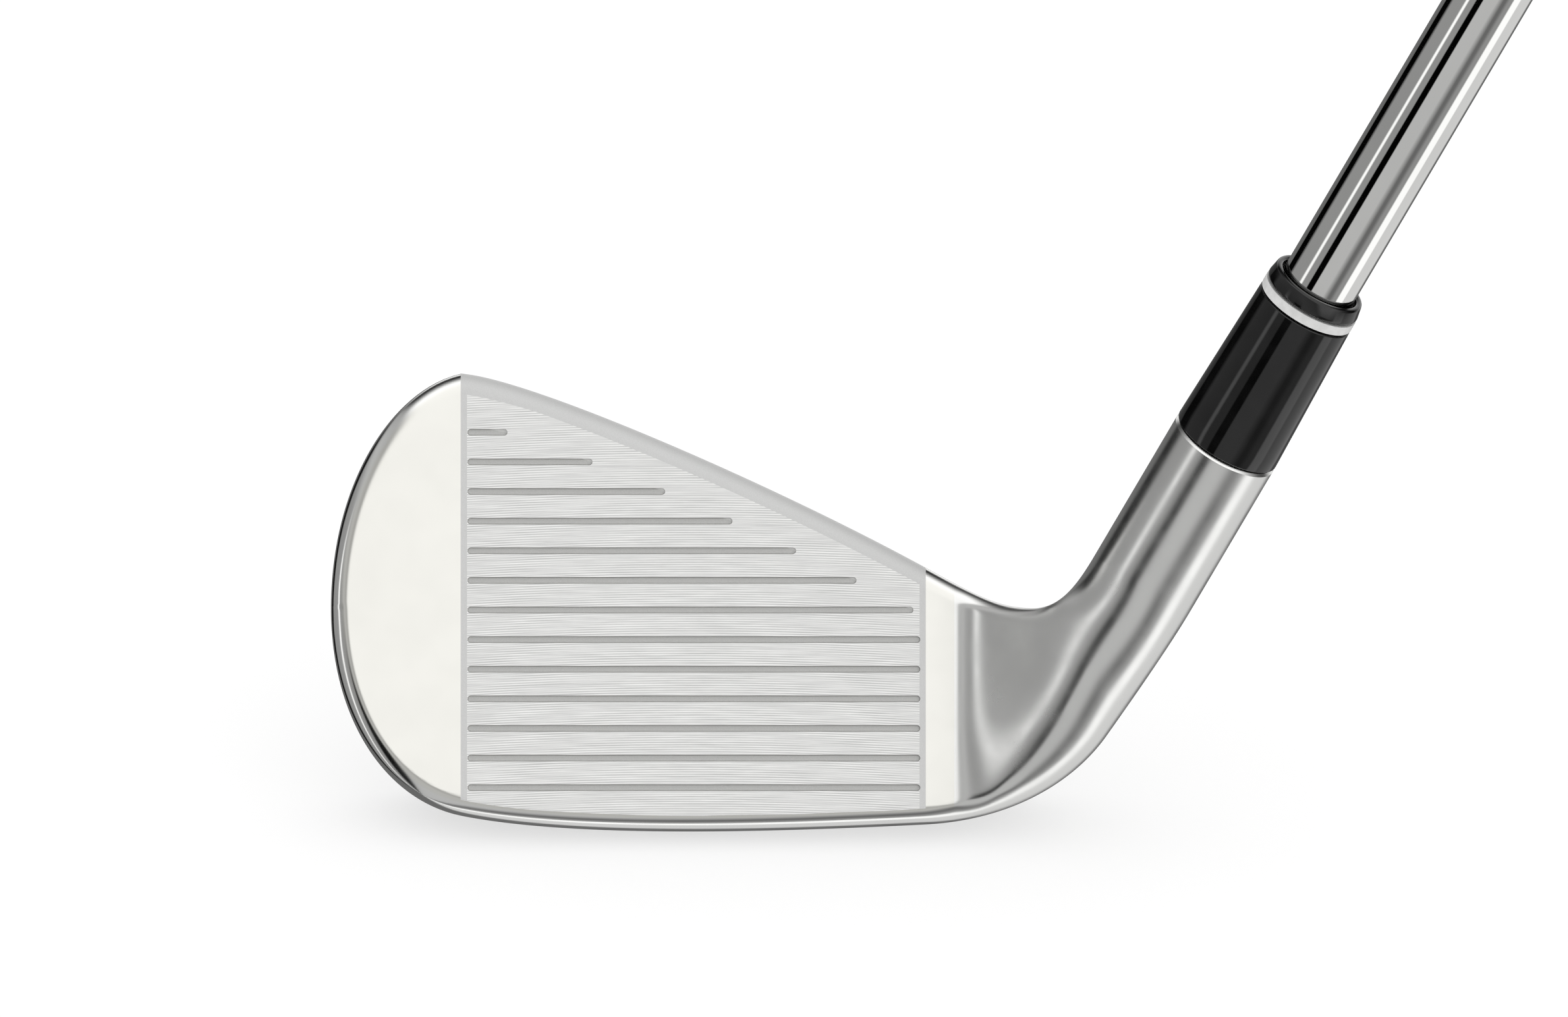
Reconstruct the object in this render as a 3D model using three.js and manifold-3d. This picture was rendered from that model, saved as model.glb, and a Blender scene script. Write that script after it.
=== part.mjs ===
// A right-handed middle iron at address. Millimetres, +Z up.
// The origin is the point of the sole that touches the ground, below the middle of the score lines.
// +X points to the heel and the shaft, and the face looks towards -Y and up.
import * as THREE from 'three';
import { mergeVertices } from 'three/addons/utils/BufferGeometryUtils.js';
import Module from 'manifold-3d';

const wasm = await Module();
wasm.setup();

// ---- Driving dimensions ----
const LOFT = THREE.MathUtils.degToRad(25); // the face leans back from the vertical
const LIE = THREE.MathUtils.degToRad(62); // the shaft stands up from the ground
const CLUB_LENGTH = 965; // 38 inches, along the shaft axis from the ground to the cap
const GAP = 0.3; // clearance between pieces that are bonded together

const FACE_ORIGIN_Y = -8.13; // where the face plane's own origin stands behind the leading edge
const FACE_ORIGIN_Z = 2.52;
const HOSEL_FORWARD = 4.4; // hosel axis behind the face origin, which makes the offset

const HOSEL_RADIUS = 6.675;
const HOSEL_TOP = new THREE.Vector2(64.1, 46.85); // hosel end's centre, seen square to the face
const HOSEL_STRAIGHT = 19.8; // length of the straight hosel, seen square to the face
const HOSEL_BEVEL = 0.3;
const BORE_RADIUS = 5.6;
const BORE_DEPTH = 26;

const RIM_ROLL = 2; // width of the rounded edge round the face
const TOP_ROLL_DEPTH = 1.9;
const SOLE_ROLL_DEPTH = 3.2;
const LEADING_SLOPE = 0.24; // the leading edge breaks away from the face at this slope
const TOPLINE_THICKNESS = 5.4;
const TOPLINE_CORNER = 1.2; // chamfer between the topline and the back
const SHELF_THICKNESS = 6; // back of the cavity frame, just above the muscle
const TOE_THICKNESS = 6.5;
const SOLE_DEPTH = 16.6; // trailing edge behind the face plane
const HEEL_SOLE_TAPER = 1.6; // the sole is this much narrower at the heel
const SOLE_CAMBER = 1.1; // how far the middle of the sole is above its leading edge, seen square
const TRAILING_EDGE = 6.3; // trailing edge above the leading edge, seen square
const TRAILING_WIDTH = 1.8;
const MUSCLE_TOP = 19; // above the leading edge
const MUSCLE_TOP_DEPTH = 0.3; // share of the way from the shelf out to the trailing edge
const SHELF_START = 24;
const FULL_SECTION = 36; // sections shorter than this shrink their back profile with them

const GROOVE_COUNT = 13;
const GROOVE_PITCH = 3.574;
const GROOVE_LOWEST = 5.18;
const GROOVE_START = -27.25;
const GROOVE_END = 27.4;
const GROOVE_HALF_WIDTH = 0.4;
const GROOVE_DEPTH = 0.45;
const GROOVE_BELOW_TOPLINE = 5.9;

const FACE_THICKNESS = 2.9;
const BADGE_THICKNESS = 1;
const BADGE_INSET = 0.5;
const TAPE_INSET = 1.5;
const TAPE_THICKNESS = 0.3;
const CAVITY_LEFT = -37.5; // seen square to the face
const CAVITY_RIGHT = 25;
const CAVITY_LOW = 21.2;
const CAVITY_CORNER = 2;
const CHANNEL_LEFT = -24; // a plain decorative channel across the muscle
const CHANNEL_RIGHT = 16;
const CHANNEL_UP = 12.6;
const CHANNEL_HALF_WIDTH = 1.3;
const CHANNEL_FLOOR = 11.4; // behind the face plane

const SHAFT_TIP_RADIUS = 4.7;
const SHAFT_BUTT_RADIUS = 7.62;
const SHAFT_WALL = 0.45;
const SHAFT_FIRST_STEP = 205;
const SHAFT_STEP_PITCH = 34;
const SHAFT_STEPS = 13;
const STEP_LENGTH = 1.2;
const TIP_WEIGHT_HEAD = 3.5; // the plug's head fills the bottom of the bore below the shaft

const FERRULE_LENGTH = 23.9;
const FERRULE_BODY_TOP = 20.2;
const FERRULE_TOP_RADIUS = 6.1;
const RING_WIDTH = 1.2;

const GRIP_LENGTH = 267;
const GRIP_MOUTH_RADIUS = 9.6;
const GRIP_BUTT_RADIUS = 13.2;
const GRIP_INNER_RADIUS = 8.52;
const CAP_THICKNESS = 4;
const CAP_CHAMFER = 2;
const VENT_RADIUS = 1.5;
const BAND_LENGTH = 38;
const BAND_BELOW_GRIP = 24;

// ---- Materials ----
const metal = (color, roughness) => new THREE.MeshStandardMaterial({ color, roughness, metalness: 1 });
const plastic = (color, roughness) => new THREE.MeshStandardMaterial({ color, roughness, metalness: 0 });

// ---- Small helpers ----
const lerp = THREE.MathUtils.lerp;
const smooth = THREE.MathUtils.smoothstep;

function toSolid(geometry) {
  const bare = geometry.clone();
  bare.deleteAttribute('normal');
  bare.deleteAttribute('uv');
  const merged = mergeVertices(bare, 1e-4);
  return new wasm.Manifold(
    new wasm.Mesh({
      numProp: 3,
      vertProperties: new Float32Array(merged.attributes.position.array),
      triVerts: new Uint32Array(merged.index.array),
    }),
  );
}

function toGeometry(solid) {
  const mesh = solid.getMesh();
  const geometry = new THREE.BufferGeometry();
  geometry.setAttribute('position', new THREE.BufferAttribute(mesh.vertProperties, 3));
  geometry.setIndex(new THREE.BufferAttribute(mesh.triVerts, 1));
  geometry.computeVertexNormals();
  return geometry;
}

// A turned piece along +Z from a profile of [radius, height] points.
function turned(profile, sides) {
  const points = profile.map(([radius, height]) => new THREE.Vector2(radius, height));
  return new THREE.LatheGeometry(points, sides).rotateX(Math.PI / 2);
}

// A sleeve with straight or tapered walls.
function sleeve(inner, bottomRadius, topRadius, bottom, top, sides) {
  const profile = [
    [inner, bottom],
    [bottomRadius, bottom],
    [topRadius, top],
    [inner, top],
    [inner, bottom],
  ];
  return turned(profile, sides);
}

// ---- Face frame: x to the heel, y up the face, z out of the face ----
const faceFrame = new THREE.Group();
faceFrame.rotation.x = Math.PI / 2 - LOFT;
faceFrame.position.set(0, FACE_ORIGIN_Y, FACE_ORIGIN_Z);

const axisDirection = new THREE.Vector3(
  Math.cos(LIE),
  Math.sin(LIE) * Math.cos(LOFT),
  Math.sin(LIE) * Math.sin(LOFT),
);
const seenAxis = new THREE.Vector2(axisDirection.x, axisDirection.y).normalize();

// Height of the hosel axis in front of the face plane, at a height up the face.
const axisHeight = (up) => (up * Math.sin(LOFT) - HOSEL_FORWARD) / Math.cos(LOFT);
const hoselTop = new THREE.Vector3(HOSEL_TOP.x, HOSEL_TOP.y, axisHeight(HOSEL_TOP.y));

// ---- Head outline, seen square to the face: an upper and a lower edge from the toe to the hosel ----
const straightStart = HOSEL_TOP.clone().addScaledVector(seenAxis, -HOSEL_STRAIGHT);
const acrossHosel = new THREE.Vector2(seenAxis.y, -seenAxis.x);
const crotchEnd = straightStart.clone().addScaledVector(acrossHosel, -HOSEL_RADIUS);
const heelEnd = straightStart.clone().addScaledVector(acrossHosel, HOSEL_RADIUS);
const beforeEnd = (end, distance) => end.clone().addScaledVector(seenAxis, -distance).toArray();

const TOE_TIP = [-43.74, 26.8];
const TOE_PEAK = [-28, 55.15];
const FACE_TOP_END = [28, 31.75];
const CROTCH = [41, 26.85];
const TOE_SOLE = [-28, 1.75];
const FACE_SOLE_END = [28, 0.7];
const HEEL = [49.9, 11.5];
const UPPER_EDGE = [
  [TOE_TIP, [-43.74, 42], [-36.2, 53.4], TOE_PEAK],
  [TOE_PEAK, [-20, 54.7], [10, 41.6], FACE_TOP_END],
  [FACE_TOP_END, [34.5, 28.2], [37, 26.85], CROTCH],
  [CROTCH, [44.2, 26.85], beforeEnd(crotchEnd, 4), crotchEnd.toArray()],
];
const LOWER_EDGE = [
  [TOE_TIP, [-43.74, 13.5], [-37.2, 3.6], TOE_SOLE],
  [TOE_SOLE, [-14, -1.05], [11, -0.15], FACE_SOLE_END],
  [FACE_SOLE_END, [38.5, 1.23], [46, 5.9], HEEL],
  [HEEL, [52.3, 14.9], beforeEnd(heelEnd, 5), heelEnd.toArray()],
];

// A run of Bezier pieces, one for each unit of u, whose speed along the edge never jumps.
class Edge {
  constructor(pieces) {
    this.curves = pieces.map((points) => {
      const curve = new THREE.CubicBezierCurve(...points.map(([x, y]) => new THREE.Vector2(x, y)));
      curve.arcLengthDivisions = 200;
      return curve;
    });
    this.lengths = this.curves.map((curve) => curve.getLength());
    this.speeds = [this.lengths[0]];
    for (let i = 1; i < pieces.length; i += 1) {
      const before = this.lengths[i - 1];
      const after = this.lengths[i];
      this.speeds.push((2 * before * after) / (before + after));
    }
    this.speeds.push(this.lengths.at(-1));
  }

  at(u) {
    const piece = Math.min(Math.floor(u), this.curves.length - 1);
    const h = u - piece;
    const start = this.speeds[piece] * (h ** 3 - 2 * h ** 2 + h);
    const end = this.speeds[piece + 1] * (h ** 3 - h ** 2);
    const run = this.lengths[piece] * (3 * h ** 2 - 2 * h ** 3) + start + end;
    return this.curves[piece].getPointAt(THREE.MathUtils.clamp(run / this.lengths[piece], 0, 1));
  }
}

const EDGE_PIECES = UPPER_EDGE.length;
const RIM_SAMPLES = 240;

// An edge as short straight lines, to measure from.
class Rim {
  constructor(edge) {
    this.lines = [];
    let fromToe = 0;
    for (let i = 0; i < RIM_SAMPLES; i += 1) {
      const from = edge.at((EDGE_PIECES * i) / RIM_SAMPLES);
      const run = edge.at((EDGE_PIECES * (i + 1)) / RIM_SAMPLES).sub(from);
      this.lines.push({ from, run, length: run.length(), fromToe, last: i === RIM_SAMPLES - 1 });
      fromToe += run.length();
    }
  }

  // Distance in from the edge, and how far along the edge from the toe.
  nearest(point) {
    let best = { distance: Infinity, along: 0 };
    for (const { from, run, length, fromToe, last } of this.lines) {
      const offset = point.clone().sub(from);
      const share = THREE.MathUtils.clamp(offset.dot(run) / length ** 2, 0, last ? Infinity : 1);
      const distance = offset.addScaledVector(run, -share).length();
      if (distance < best.distance) {
        best = { distance, along: fromToe + share * length };
      }
    }
    return best;
  }
}

const upperEdge = new Edge(UPPER_EDGE);
const lowerEdge = new Edge(LOWER_EDGE);
const upperRim = new Rim(upperEdge);
const lowerRim = new Rim(lowerEdge);

// ---- Head section at a place u along the edges: 0 at the toe tip, 4 at the straight hosel ----
const HOSEL_DEPTH = HOSEL_RADIUS / Math.hypot(axisDirection.x, axisDirection.y);
const SCOOP_START = 31.7; // the flat face ends here, on a straight line across it
const SCOOP_SOFT = 4.5; // width over which the scoop's slope sets in
const SCOOP_SLOPE = 0.5;
const SCOOP_JOIN = 0.3; // where it meets the hosel's near side, as a share of the hosel's radius
const SCOOP_FADE_START = -12;
const SCOOP_FADE_END = 33;
const CREASE_LOW = 4; // the scoop's first slope fades in between these heights
const CREASE_HIGH = 14;
const HEEL_ROUND_START = -5.6; // the lower edge's rounding grows into the hosel's between these two
const HEEL_ROUND_END = 27;
const HOSEL_START = 3.15; // the front's sections turn into the hosel's own between these two
const HOSEL_END = 3.9;
const BACK_START = 2.15; // and the back's between these
const BACK_END = 3.6;
const TOPLINE_FADE_START = 2.6; // the topline's rounded edge fades out between these
const TOPLINE_FADE_END = 3.7;
const heelStart = lowerRim.lines.find(({ from }) => from.x > SCOOP_START).fromToe;

// How far a rounded edge falls away, at a distance in from it.
function roll(distance, width, depth) {
  const inside = THREE.MathUtils.clamp(1 - distance / width, 0, 1);
  return depth * (1 - Math.sqrt(1 - inside ** 2));
}

// Height of the front without its rounded edges: the face plane, the scoop and the hosel's near side.
function frontHeight(point) {
  if (point.x <= SCOOP_START) {
    return 0;
  }
  const offset = point.clone().sub(HOSEL_TOP).dot(acrossHosel);
  const beside = Math.min(offset, 0) / HOSEL_RADIUS;
  const nearRound = HOSEL_DEPTH * Math.sqrt(Math.max(1 - beside ** 2, 0));
  const nearSide = axisHeight(point.y + offset * seenAxis.x) + nearRound;

  // Straight across at this height: from the flat face to the tangent of the hosel.
  const joinOffset = -SCOOP_JOIN * HOSEL_RADIUS;
  const join = HOSEL_TOP.x + (joinOffset - (point.y - HOSEL_TOP.y) * acrossHosel.y) / acrossHosel.x;
  const steep = Math.sqrt(1 - SCOOP_JOIN ** 2);
  const rise = axisHeight(point.y + joinOffset * seenAxis.x) + HOSEL_DEPTH * steep;
  const roundSlope = (HOSEL_DEPTH / HOSEL_RADIUS) * (SCOOP_JOIN / steep);
  const slope = (Math.tan(LOFT) * seenAxis.x + roundSlope) * acrossHosel.x;
  const width = Math.max(join - SCOOP_START, 0.5);
  const across = point.x - SCOOP_START;
  const share = THREE.MathUtils.clamp(across / width, 0, 1);
  const scoop = rise * (3 * share ** 2 - 2 * share ** 3) + slope * width * (share ** 3 - share ** 2);
  const settingIn = Math.min(across, SCOOP_SOFT) ** 2 / (2 * SCOOP_SOFT) + Math.max(across - SCOOP_SOFT, 0);
  const start = SCOOP_SLOPE * smooth(point.y, CREASE_LOW, CREASE_HIGH) * settingIn * (1 - share) ** 2;
  const fade = smooth(across + 0.9 * point.y, SCOOP_FADE_START, SCOOP_FADE_END);
  return fade * (point.x < join ? scoop : nearSide) + start;
}

// Back profile from the leading edge to the topline: distance from the lower edge, height and corner size.
function backProfile(u, length) {
  const shrink = length / (length ** 4 + FULL_SECTION ** 4) ** 0.25;
  const soleShare = Math.min(u, 1) ** 1.2;
  const slant = shrink * soleShare;
  const depth = lerp(TOE_THICKNESS, SOLE_DEPTH, soleShare) - HEEL_SOLE_TAPER * smooth(u, 1.4, 2.4);
  const edgeRoll = lerp(TOP_ROLL_DEPTH, SOLE_ROLL_DEPTH, soleShare);
  const shelf = Math.min(SHELF_THICKNESS, depth - GAP);
  const topline = Math.min(TOPLINE_THICKNESS, depth - 2 * GAP);
  const topCorner = Math.min(TOPLINE_CORNER, length / 5);
  const trailing = TRAILING_EDGE * slant;
  const soft = shrink * (1 + 3 * smooth(u, BACK_START, BACK_END)); // corners melt into the hosel
  return [
    [0, -edgeRoll, 0],
    [SOLE_CAMBER * slant, -lerp(edgeRoll, depth, 0.38), 2.5 * soft],
    [trailing, -depth, 1.2 * soft],
    [trailing + TRAILING_WIDTH * shrink, -depth, 1.2 * soft],
    [MUSCLE_TOP * shrink, -lerp(shelf, depth, MUSCLE_TOP_DEPTH), 2.5 * soft],
    [SHELF_START * shrink, -shelf, 2 * soft],
    [length - topCorner, -topline, 0.8 * soft],
    [length, -TOP_ROLL_DEPTH, 0],
  ];
}

// Rounds the corners of an open profile, with the same number of points whatever its shape.
function roundProfile(corners, steps) {
  const points = corners.map(([distance, height]) => new THREE.Vector2(distance, height));
  const rounded = [points[0]];
  for (let i = 1; i < points.length - 1; i += 1) {
    const corner = points[i];
    const size = corners[i][2];
    const before = points[i - 1].clone().sub(corner);
    const after = points[i + 1].clone().sub(corner);
    const start = corner.clone().addScaledVector(before, Math.min(size / before.length(), 0.45));
    const end = corner.clone().addScaledVector(after, Math.min(size / after.length(), 0.45));
    const arc = new THREE.QuadraticBezierCurve(start, corner, end);
    rounded.push(...arc.getPoints(steps));
  }
  rounded.push(points.at(-1));
  return rounded;
}

function headSection(u, frontSteps, cornerSteps) {
  const top = upperEdge.at(u);
  const bottom = lowerEdge.at(u);
  const length = top.distanceTo(bottom);
  const down = bottom.clone().sub(top).divideScalar(length);

  // The hosel's own round section here, seen as two heights over the section line.
  const axisAt = HOSEL_TOP.clone().sub(top).cross(seenAxis) / down.cross(seenAxis);
  const hoselHeight = axisHeight(top.y + down.y * axisAt);
  const round = (share) => HOSEL_DEPTH * Math.sqrt(Math.max(1 - (2 * share - 1) ** 2, 0));
  const place = (share, height) => {
    const seen = top.clone().lerp(bottom, share);
    return new THREE.Vector3(seen.x, seen.y, height);
  };

  const points = [];
  for (let i = 0; i <= frontSteps; i += 1) {
    const share = (1 - Math.cos((Math.PI * i) / frontSteps)) / 2;
    const seen = top.clone().lerp(bottom, share);
    const soleShare = Math.min(u, 1) ** 1.2 * smooth(share, 0.3, 0.7);
    const edgeDepth = lerp(TOP_ROLL_DEPTH, SOLE_ROLL_DEPTH, soleShare);
    const { distance, along } = lowerRim.nearest(seen);
    const grown = smooth(along - heelStart, HEEL_ROUND_START, HEEL_ROUND_END);
    const lowDepth = lerp(edgeDepth, HOSEL_DEPTH, grown ** 1.7);
    const breakAway = LEADING_SLOPE * soleShare * (1 - grown) * Math.max(RIM_ROLL - distance, 0);
    const low = breakAway + roll(distance, lerp(RIM_ROLL, HOSEL_RADIUS, grown), lowDepth);
    const highDepth = edgeDepth * (1 - smooth(u, TOPLINE_FADE_START, TOPLINE_FADE_END));
    const high = roll(upperRim.nearest(seen).distance, RIM_ROLL, highDepth);
    const blade = frontHeight(seen) - Math.max(low, high);
    points.push(place(share, lerp(blade, hoselHeight + round(share), smooth(u, HOSEL_START, HOSEL_END))));
  }

  const back = roundProfile(backProfile(u, length), cornerSteps);
  const spread = smooth(u, BACK_START, BACK_END);
  const bottomLift = points.at(-1).z - lerp(back[0].y, hoselHeight, spread);
  const topLift = points[0].z - lerp(back.at(-1).y, hoselHeight, spread);
  back.slice(1, -1).forEach((point, i) => {
    const evenShare = (1 + Math.cos((Math.PI * (i + 1)) / (back.length - 1))) / 2;
    const share = lerp(1 - point.x / length, evenShare, spread);
    const height = lerp(point.y, hoselHeight - round(share), spread);
    points.push(place(share, height + bottomLift * share ** 4 + topLift * (1 - share) ** 4));
  });
  return points;
}

// Rings of points from the toe tip to the hosel's end.
function headRings(stations, frontSteps, cornerSteps) {
  const rings = stations.map((u) => headSection(u, frontSteps, cornerSteps));
  const last = rings.at(-1);
  const onEndPlane = (point, short) => {
    const beyond = point.clone().sub(hoselTop).dot(axisDirection) + short;
    return point.clone().addScaledVector(axisDirection, -beyond);
  };
  rings.push(last.map((point) => onEndPlane(point, HOSEL_BEVEL)));
  const bevelled = 1 - HOSEL_BEVEL / HOSEL_RADIUS;
  rings.push(last.map((point) => onEndPlane(point, 0).sub(hoselTop).multiplyScalar(bevelled).add(hoselTop)));
  return rings;
}

// Skins a stack of rings and closes both ends.
function skinRings(rings) {
  const count = rings[0].length;
  const sum = (ring) => ring.reduce((total, point) => total.add(point), new THREE.Vector3());
  const centre = (ring) => sum(ring).divideScalar(count);
  const vertices = [...rings.flat(), centre(rings[0]), centre(rings.at(-1))];
  const firstCentre = rings.length * count;
  const index = [];
  for (let i = 0; i < count; i += 1) {
    const next = (i + 1) % count;
    for (let ring = 0; ring < rings.length - 1; ring += 1) {
      const low = ring * count;
      const high = low + count;
      index.push(low + i, low + next, high + next, low + i, high + next, high + i);
    }
    const lastRing = firstCentre - count;
    index.push(firstCentre, next, i, firstCentre + 1, lastRing + i, lastRing + next);
  }
  const geometry = new THREE.BufferGeometry().setFromPoints(vertices);
  geometry.setIndex(index);
  return geometry;
}

function headStations() {
  const stations = [];
  const add = (from, to, steps, bend) => {
    for (let i = 0; i < steps; i += 1) {
      stations.push(from + (to - from) * (i / steps) ** bend);
    }
  };
  add(0.02, 1, 9, 1.3);
  add(1, 2, 6, 1);
  add(2, 3, 9, 1);
  add(3, 4, 8, 1);
  stations.push(4);
  return stations;
}

// ---- Cuts in the head ----
function capsule(left, right, up, halfWidth, arcSteps) {
  const shape = new THREE.Shape();
  shape.absarc(right - halfWidth, up, halfWidth, -Math.PI / 2, Math.PI / 2, false);
  shape.absarc(left + halfWidth, up, halfWidth, Math.PI / 2, (3 * Math.PI) / 2, false);
  shape.closePath();
  return { shape, arcSteps };
}

function extrudeBetween({ shape, arcSteps }, low, high) {
  const geometry = new THREE.ExtrudeGeometry(shape, {
    depth: high - low,
    bevelEnabled: false,
    curveSegments: arcSteps,
  });
  return geometry.translate(0, 0, low);
}

// Where the topline is at a given height up the face.
function toplineAt(height) {
  const topline = upperEdge.curves[1];
  let low = 0;
  let high = 1;
  for (let i = 0; i < 30; i += 1) {
    const middle = (low + high) / 2;
    const above = topline.getPoint(middle).y > height;
    low = above ? middle : low;
    high = above ? high : middle;
  }
  return topline.getPoint(low).x;
}

function grooves() {
  return Array.from({ length: GROOVE_COUNT }, (_, i) => {
    const up = GROOVE_LOWEST + GROOVE_PITCH * i;
    const right = Math.min(toplineAt(up + GROOVE_BELOW_TOPLINE), GROOVE_END);
    return extrudeBetween(capsule(GROOVE_START, right, up, GROOVE_HALF_WIDTH, 4), -GROOVE_DEPTH, 1);
  });
}

// The cavity's outline, drawn in by an inset all round.
function cavityOutline(inset) {
  const shape = new THREE.Shape();
  const left = CAVITY_LEFT + inset;
  const right = CAVITY_RIGHT - inset;
  const low = CAVITY_LOW + inset;
  const toeStart = CAVITY_LEFT + 7.5;
  const corner = CAVITY_CORNER;
  shape.moveTo(toeStart, low);
  shape.lineTo(right - corner, low);
  shape.quadraticCurveTo(right, low, right, low + corner);
  shape.lineTo(right, 26);
  shape.quadraticCurveTo(right, 28.2 - inset, right - corner, 29.2 - inset);
  shape.lineTo(-22, 48.6 - inset * 1.1); // along the topline
  shape.bezierCurveTo(-29, 51 - inset, left + 1, 43 - inset, left, 33);
  shape.quadraticCurveTo(left, low, toeStart, low);
  return { shape, arcSteps: 8 };
}

function cutHead(body) {
  const toFace = faceFrame.matrix.clone().invert();
  const boreProfile = [[0, -BORE_DEPTH], [BORE_RADIUS, -BORE_DEPTH], [BORE_RADIUS, 1], [0, 1]];
  const bore = turned(boreProfile, 24);
  bore.applyMatrix4(hoselFrame.matrix).applyMatrix4(toFace);
  const ground = new THREE.BoxGeometry(120, 60, 10).translate(0, 0, -5).applyMatrix4(toFace);
  const behind = -SOLE_DEPTH - 3;
  const cavity = extrudeBetween(cavityOutline(0), behind, -FACE_THICKNESS);
  const channelShape = capsule(CHANNEL_LEFT, CHANNEL_RIGHT, CHANNEL_UP, CHANNEL_HALF_WIDTH, 4);
  const channel = extrudeBetween(channelShape, behind, -CHANNEL_FLOOR);
  let solid = toSolid(body);
  for (const cut of [bore, ground, cavity, channel, ...grooves()]) {
    solid = solid.subtract(toSolid(cut));
  }
  return toGeometry(solid);
}

// ---- Shaft frame: +Z up the shaft from the hosel's end ----
const hoselFrame = new THREE.Group();
hoselFrame.rotation.y = Math.PI / 2 - LIE;
faceFrame.updateMatrix();
hoselFrame.position.copy(hoselTop.clone().applyMatrix4(faceFrame.matrix));
hoselFrame.updateMatrix();

const groundToHosel = hoselFrame.position.z / Math.sin(LIE);
const CLUB_END = CLUB_LENGTH - groundToHosel;
const GRIP_START = CLUB_END - GRIP_LENGTH;
const SHAFT_END = CLUB_END - CAP_THICKNESS - GAP;
const SHAFT_START = -BORE_DEPTH + TIP_WEIGHT_HEAD;

function shaftRadius(step) {
  return lerp(SHAFT_TIP_RADIUS, SHAFT_BUTT_RADIUS, step / SHAFT_STEPS);
}

function shaftGeometry() {
  const outside = [[SHAFT_TIP_RADIUS, SHAFT_START]];
  for (let step = 0; step < SHAFT_STEPS; step += 1) {
    const height = SHAFT_FIRST_STEP + step * SHAFT_STEP_PITCH;
    outside.push([shaftRadius(step), height], [shaftRadius(step + 1), height + STEP_LENGTH]);
  }
  outside.push([SHAFT_BUTT_RADIUS, SHAFT_END]);
  const inside = [
    [SHAFT_BUTT_RADIUS - SHAFT_WALL, SHAFT_END],
    [SHAFT_BUTT_RADIUS - SHAFT_WALL, SHAFT_FIRST_STEP + SHAFT_STEPS * SHAFT_STEP_PITCH],
    [SHAFT_TIP_RADIUS - SHAFT_WALL, SHAFT_FIRST_STEP],
    [SHAFT_TIP_RADIUS - SHAFT_WALL, SHAFT_START],
  ];
  return turned([...outside, ...inside, outside[0]], 24);
}

function tipWeightGeometry() {
  const stem = SHAFT_TIP_RADIUS - SHAFT_WALL - GAP;
  const low = -BORE_DEPTH + GAP;
  const head = SHAFT_START - GAP;
  const plug = [[0, low], [SHAFT_TIP_RADIUS, low], [SHAFT_TIP_RADIUS, head], [stem, head]];
  const profile = [...plug, [stem, 0], [0, 0]];
  return turned(profile, 16);
}

function gripGeometry() {
  const inner = GRIP_INNER_RADIUS;
  const radiusAt = (share) => lerp(GRIP_MOUTH_RADIUS, GRIP_BUTT_RADIUS, share);
  const profile = [
    [inner, GRIP_START],
    [GRIP_MOUTH_RADIUS - 0.4, GRIP_START],
    [GRIP_MOUTH_RADIUS, GRIP_START + 1],
    [radiusAt(0.32), GRIP_START + GRIP_LENGTH * 0.45],
    [radiusAt(0.72), GRIP_START + GRIP_LENGTH * 0.8],
    [radiusAt(0.92), SHAFT_END - 12],
    [GRIP_BUTT_RADIUS, SHAFT_END],
    [inner, SHAFT_END],
    [inner, GRIP_START],
  ];
  return turned(profile, 32);
}

function capGeometry() {
  const low = CLUB_END - CAP_THICKNESS;
  const profile = [
    [VENT_RADIUS, low],
    [GRIP_BUTT_RADIUS, low],
    [GRIP_BUTT_RADIUS, CLUB_END - CAP_CHAMFER],
    [GRIP_BUTT_RADIUS - 0.3 * CAP_CHAMFER, CLUB_END - 0.3 * CAP_CHAMFER],
    [GRIP_BUTT_RADIUS - CAP_CHAMFER, CLUB_END],
    [VENT_RADIUS, CLUB_END],
    [VENT_RADIUS, low],
  ];
  return turned(profile, 32);
}

// ---- Assembly ----
const club = new THREE.Group();
club.add(faceFrame, hoselFrame);

function addPart(frame, name, geometry, material) {
  const mesh = new THREE.Mesh(geometry, material);
  mesh.name = name;
  frame.add(mesh);
}

const body = skinRings(headRings(headStations(), 18, 2));
addPart(faceFrame, 'head_body', cutHead(body), metal(0xd8d7d3, 0.3));
const tapeLow = -FACE_THICKNESS - GAP - TAPE_THICKNESS;
const badgeLow = tapeLow - GAP - BADGE_THICKNESS;
const badgeTape = extrudeBetween(cavityOutline(TAPE_INSET), tapeLow, tapeLow + TAPE_THICKNESS);
addPart(faceFrame, 'badge_tape', badgeTape, plastic(0x2a2a2a, 0.9));
const badgePlate = extrudeBetween(cavityOutline(BADGE_INSET), badgeLow, badgeLow + BADGE_THICKNESS);
addPart(faceFrame, 'badge_plate', badgePlate, metal(0x8f9194, 0.45));

const sleeveInner = SHAFT_TIP_RADIUS + GAP;
const ringRadius = FERRULE_TOP_RADIUS;
const ringLow = FERRULE_BODY_TOP + GAP;
const capLow = ringLow + RING_WIDTH + GAP;
const epoxy = sleeve(sleeveInner, sleeveInner + GAP, sleeveInner + GAP, -BORE_DEPTH + 4, -GAP, 24);
addPart(hoselFrame, 'hosel_epoxy', epoxy, plastic(0xb9a57a, 0.5));
const ferrule = sleeve(sleeveInner, HOSEL_RADIUS, ringRadius, GAP, FERRULE_BODY_TOP, 32);
addPart(hoselFrame, 'ferrule_body', ferrule, plastic(0x0b0b0b, 0.15));
const ring = sleeve(sleeveInner, ringRadius, ringRadius, ringLow, ringLow + RING_WIDTH, 32);
addPart(hoselFrame, 'ferrule_ring', ring, plastic(0xcfcfcf, 0.35));
const cap = sleeve(sleeveInner, ringRadius, ringRadius - 0.35, capLow, FERRULE_LENGTH, 32);
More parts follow.
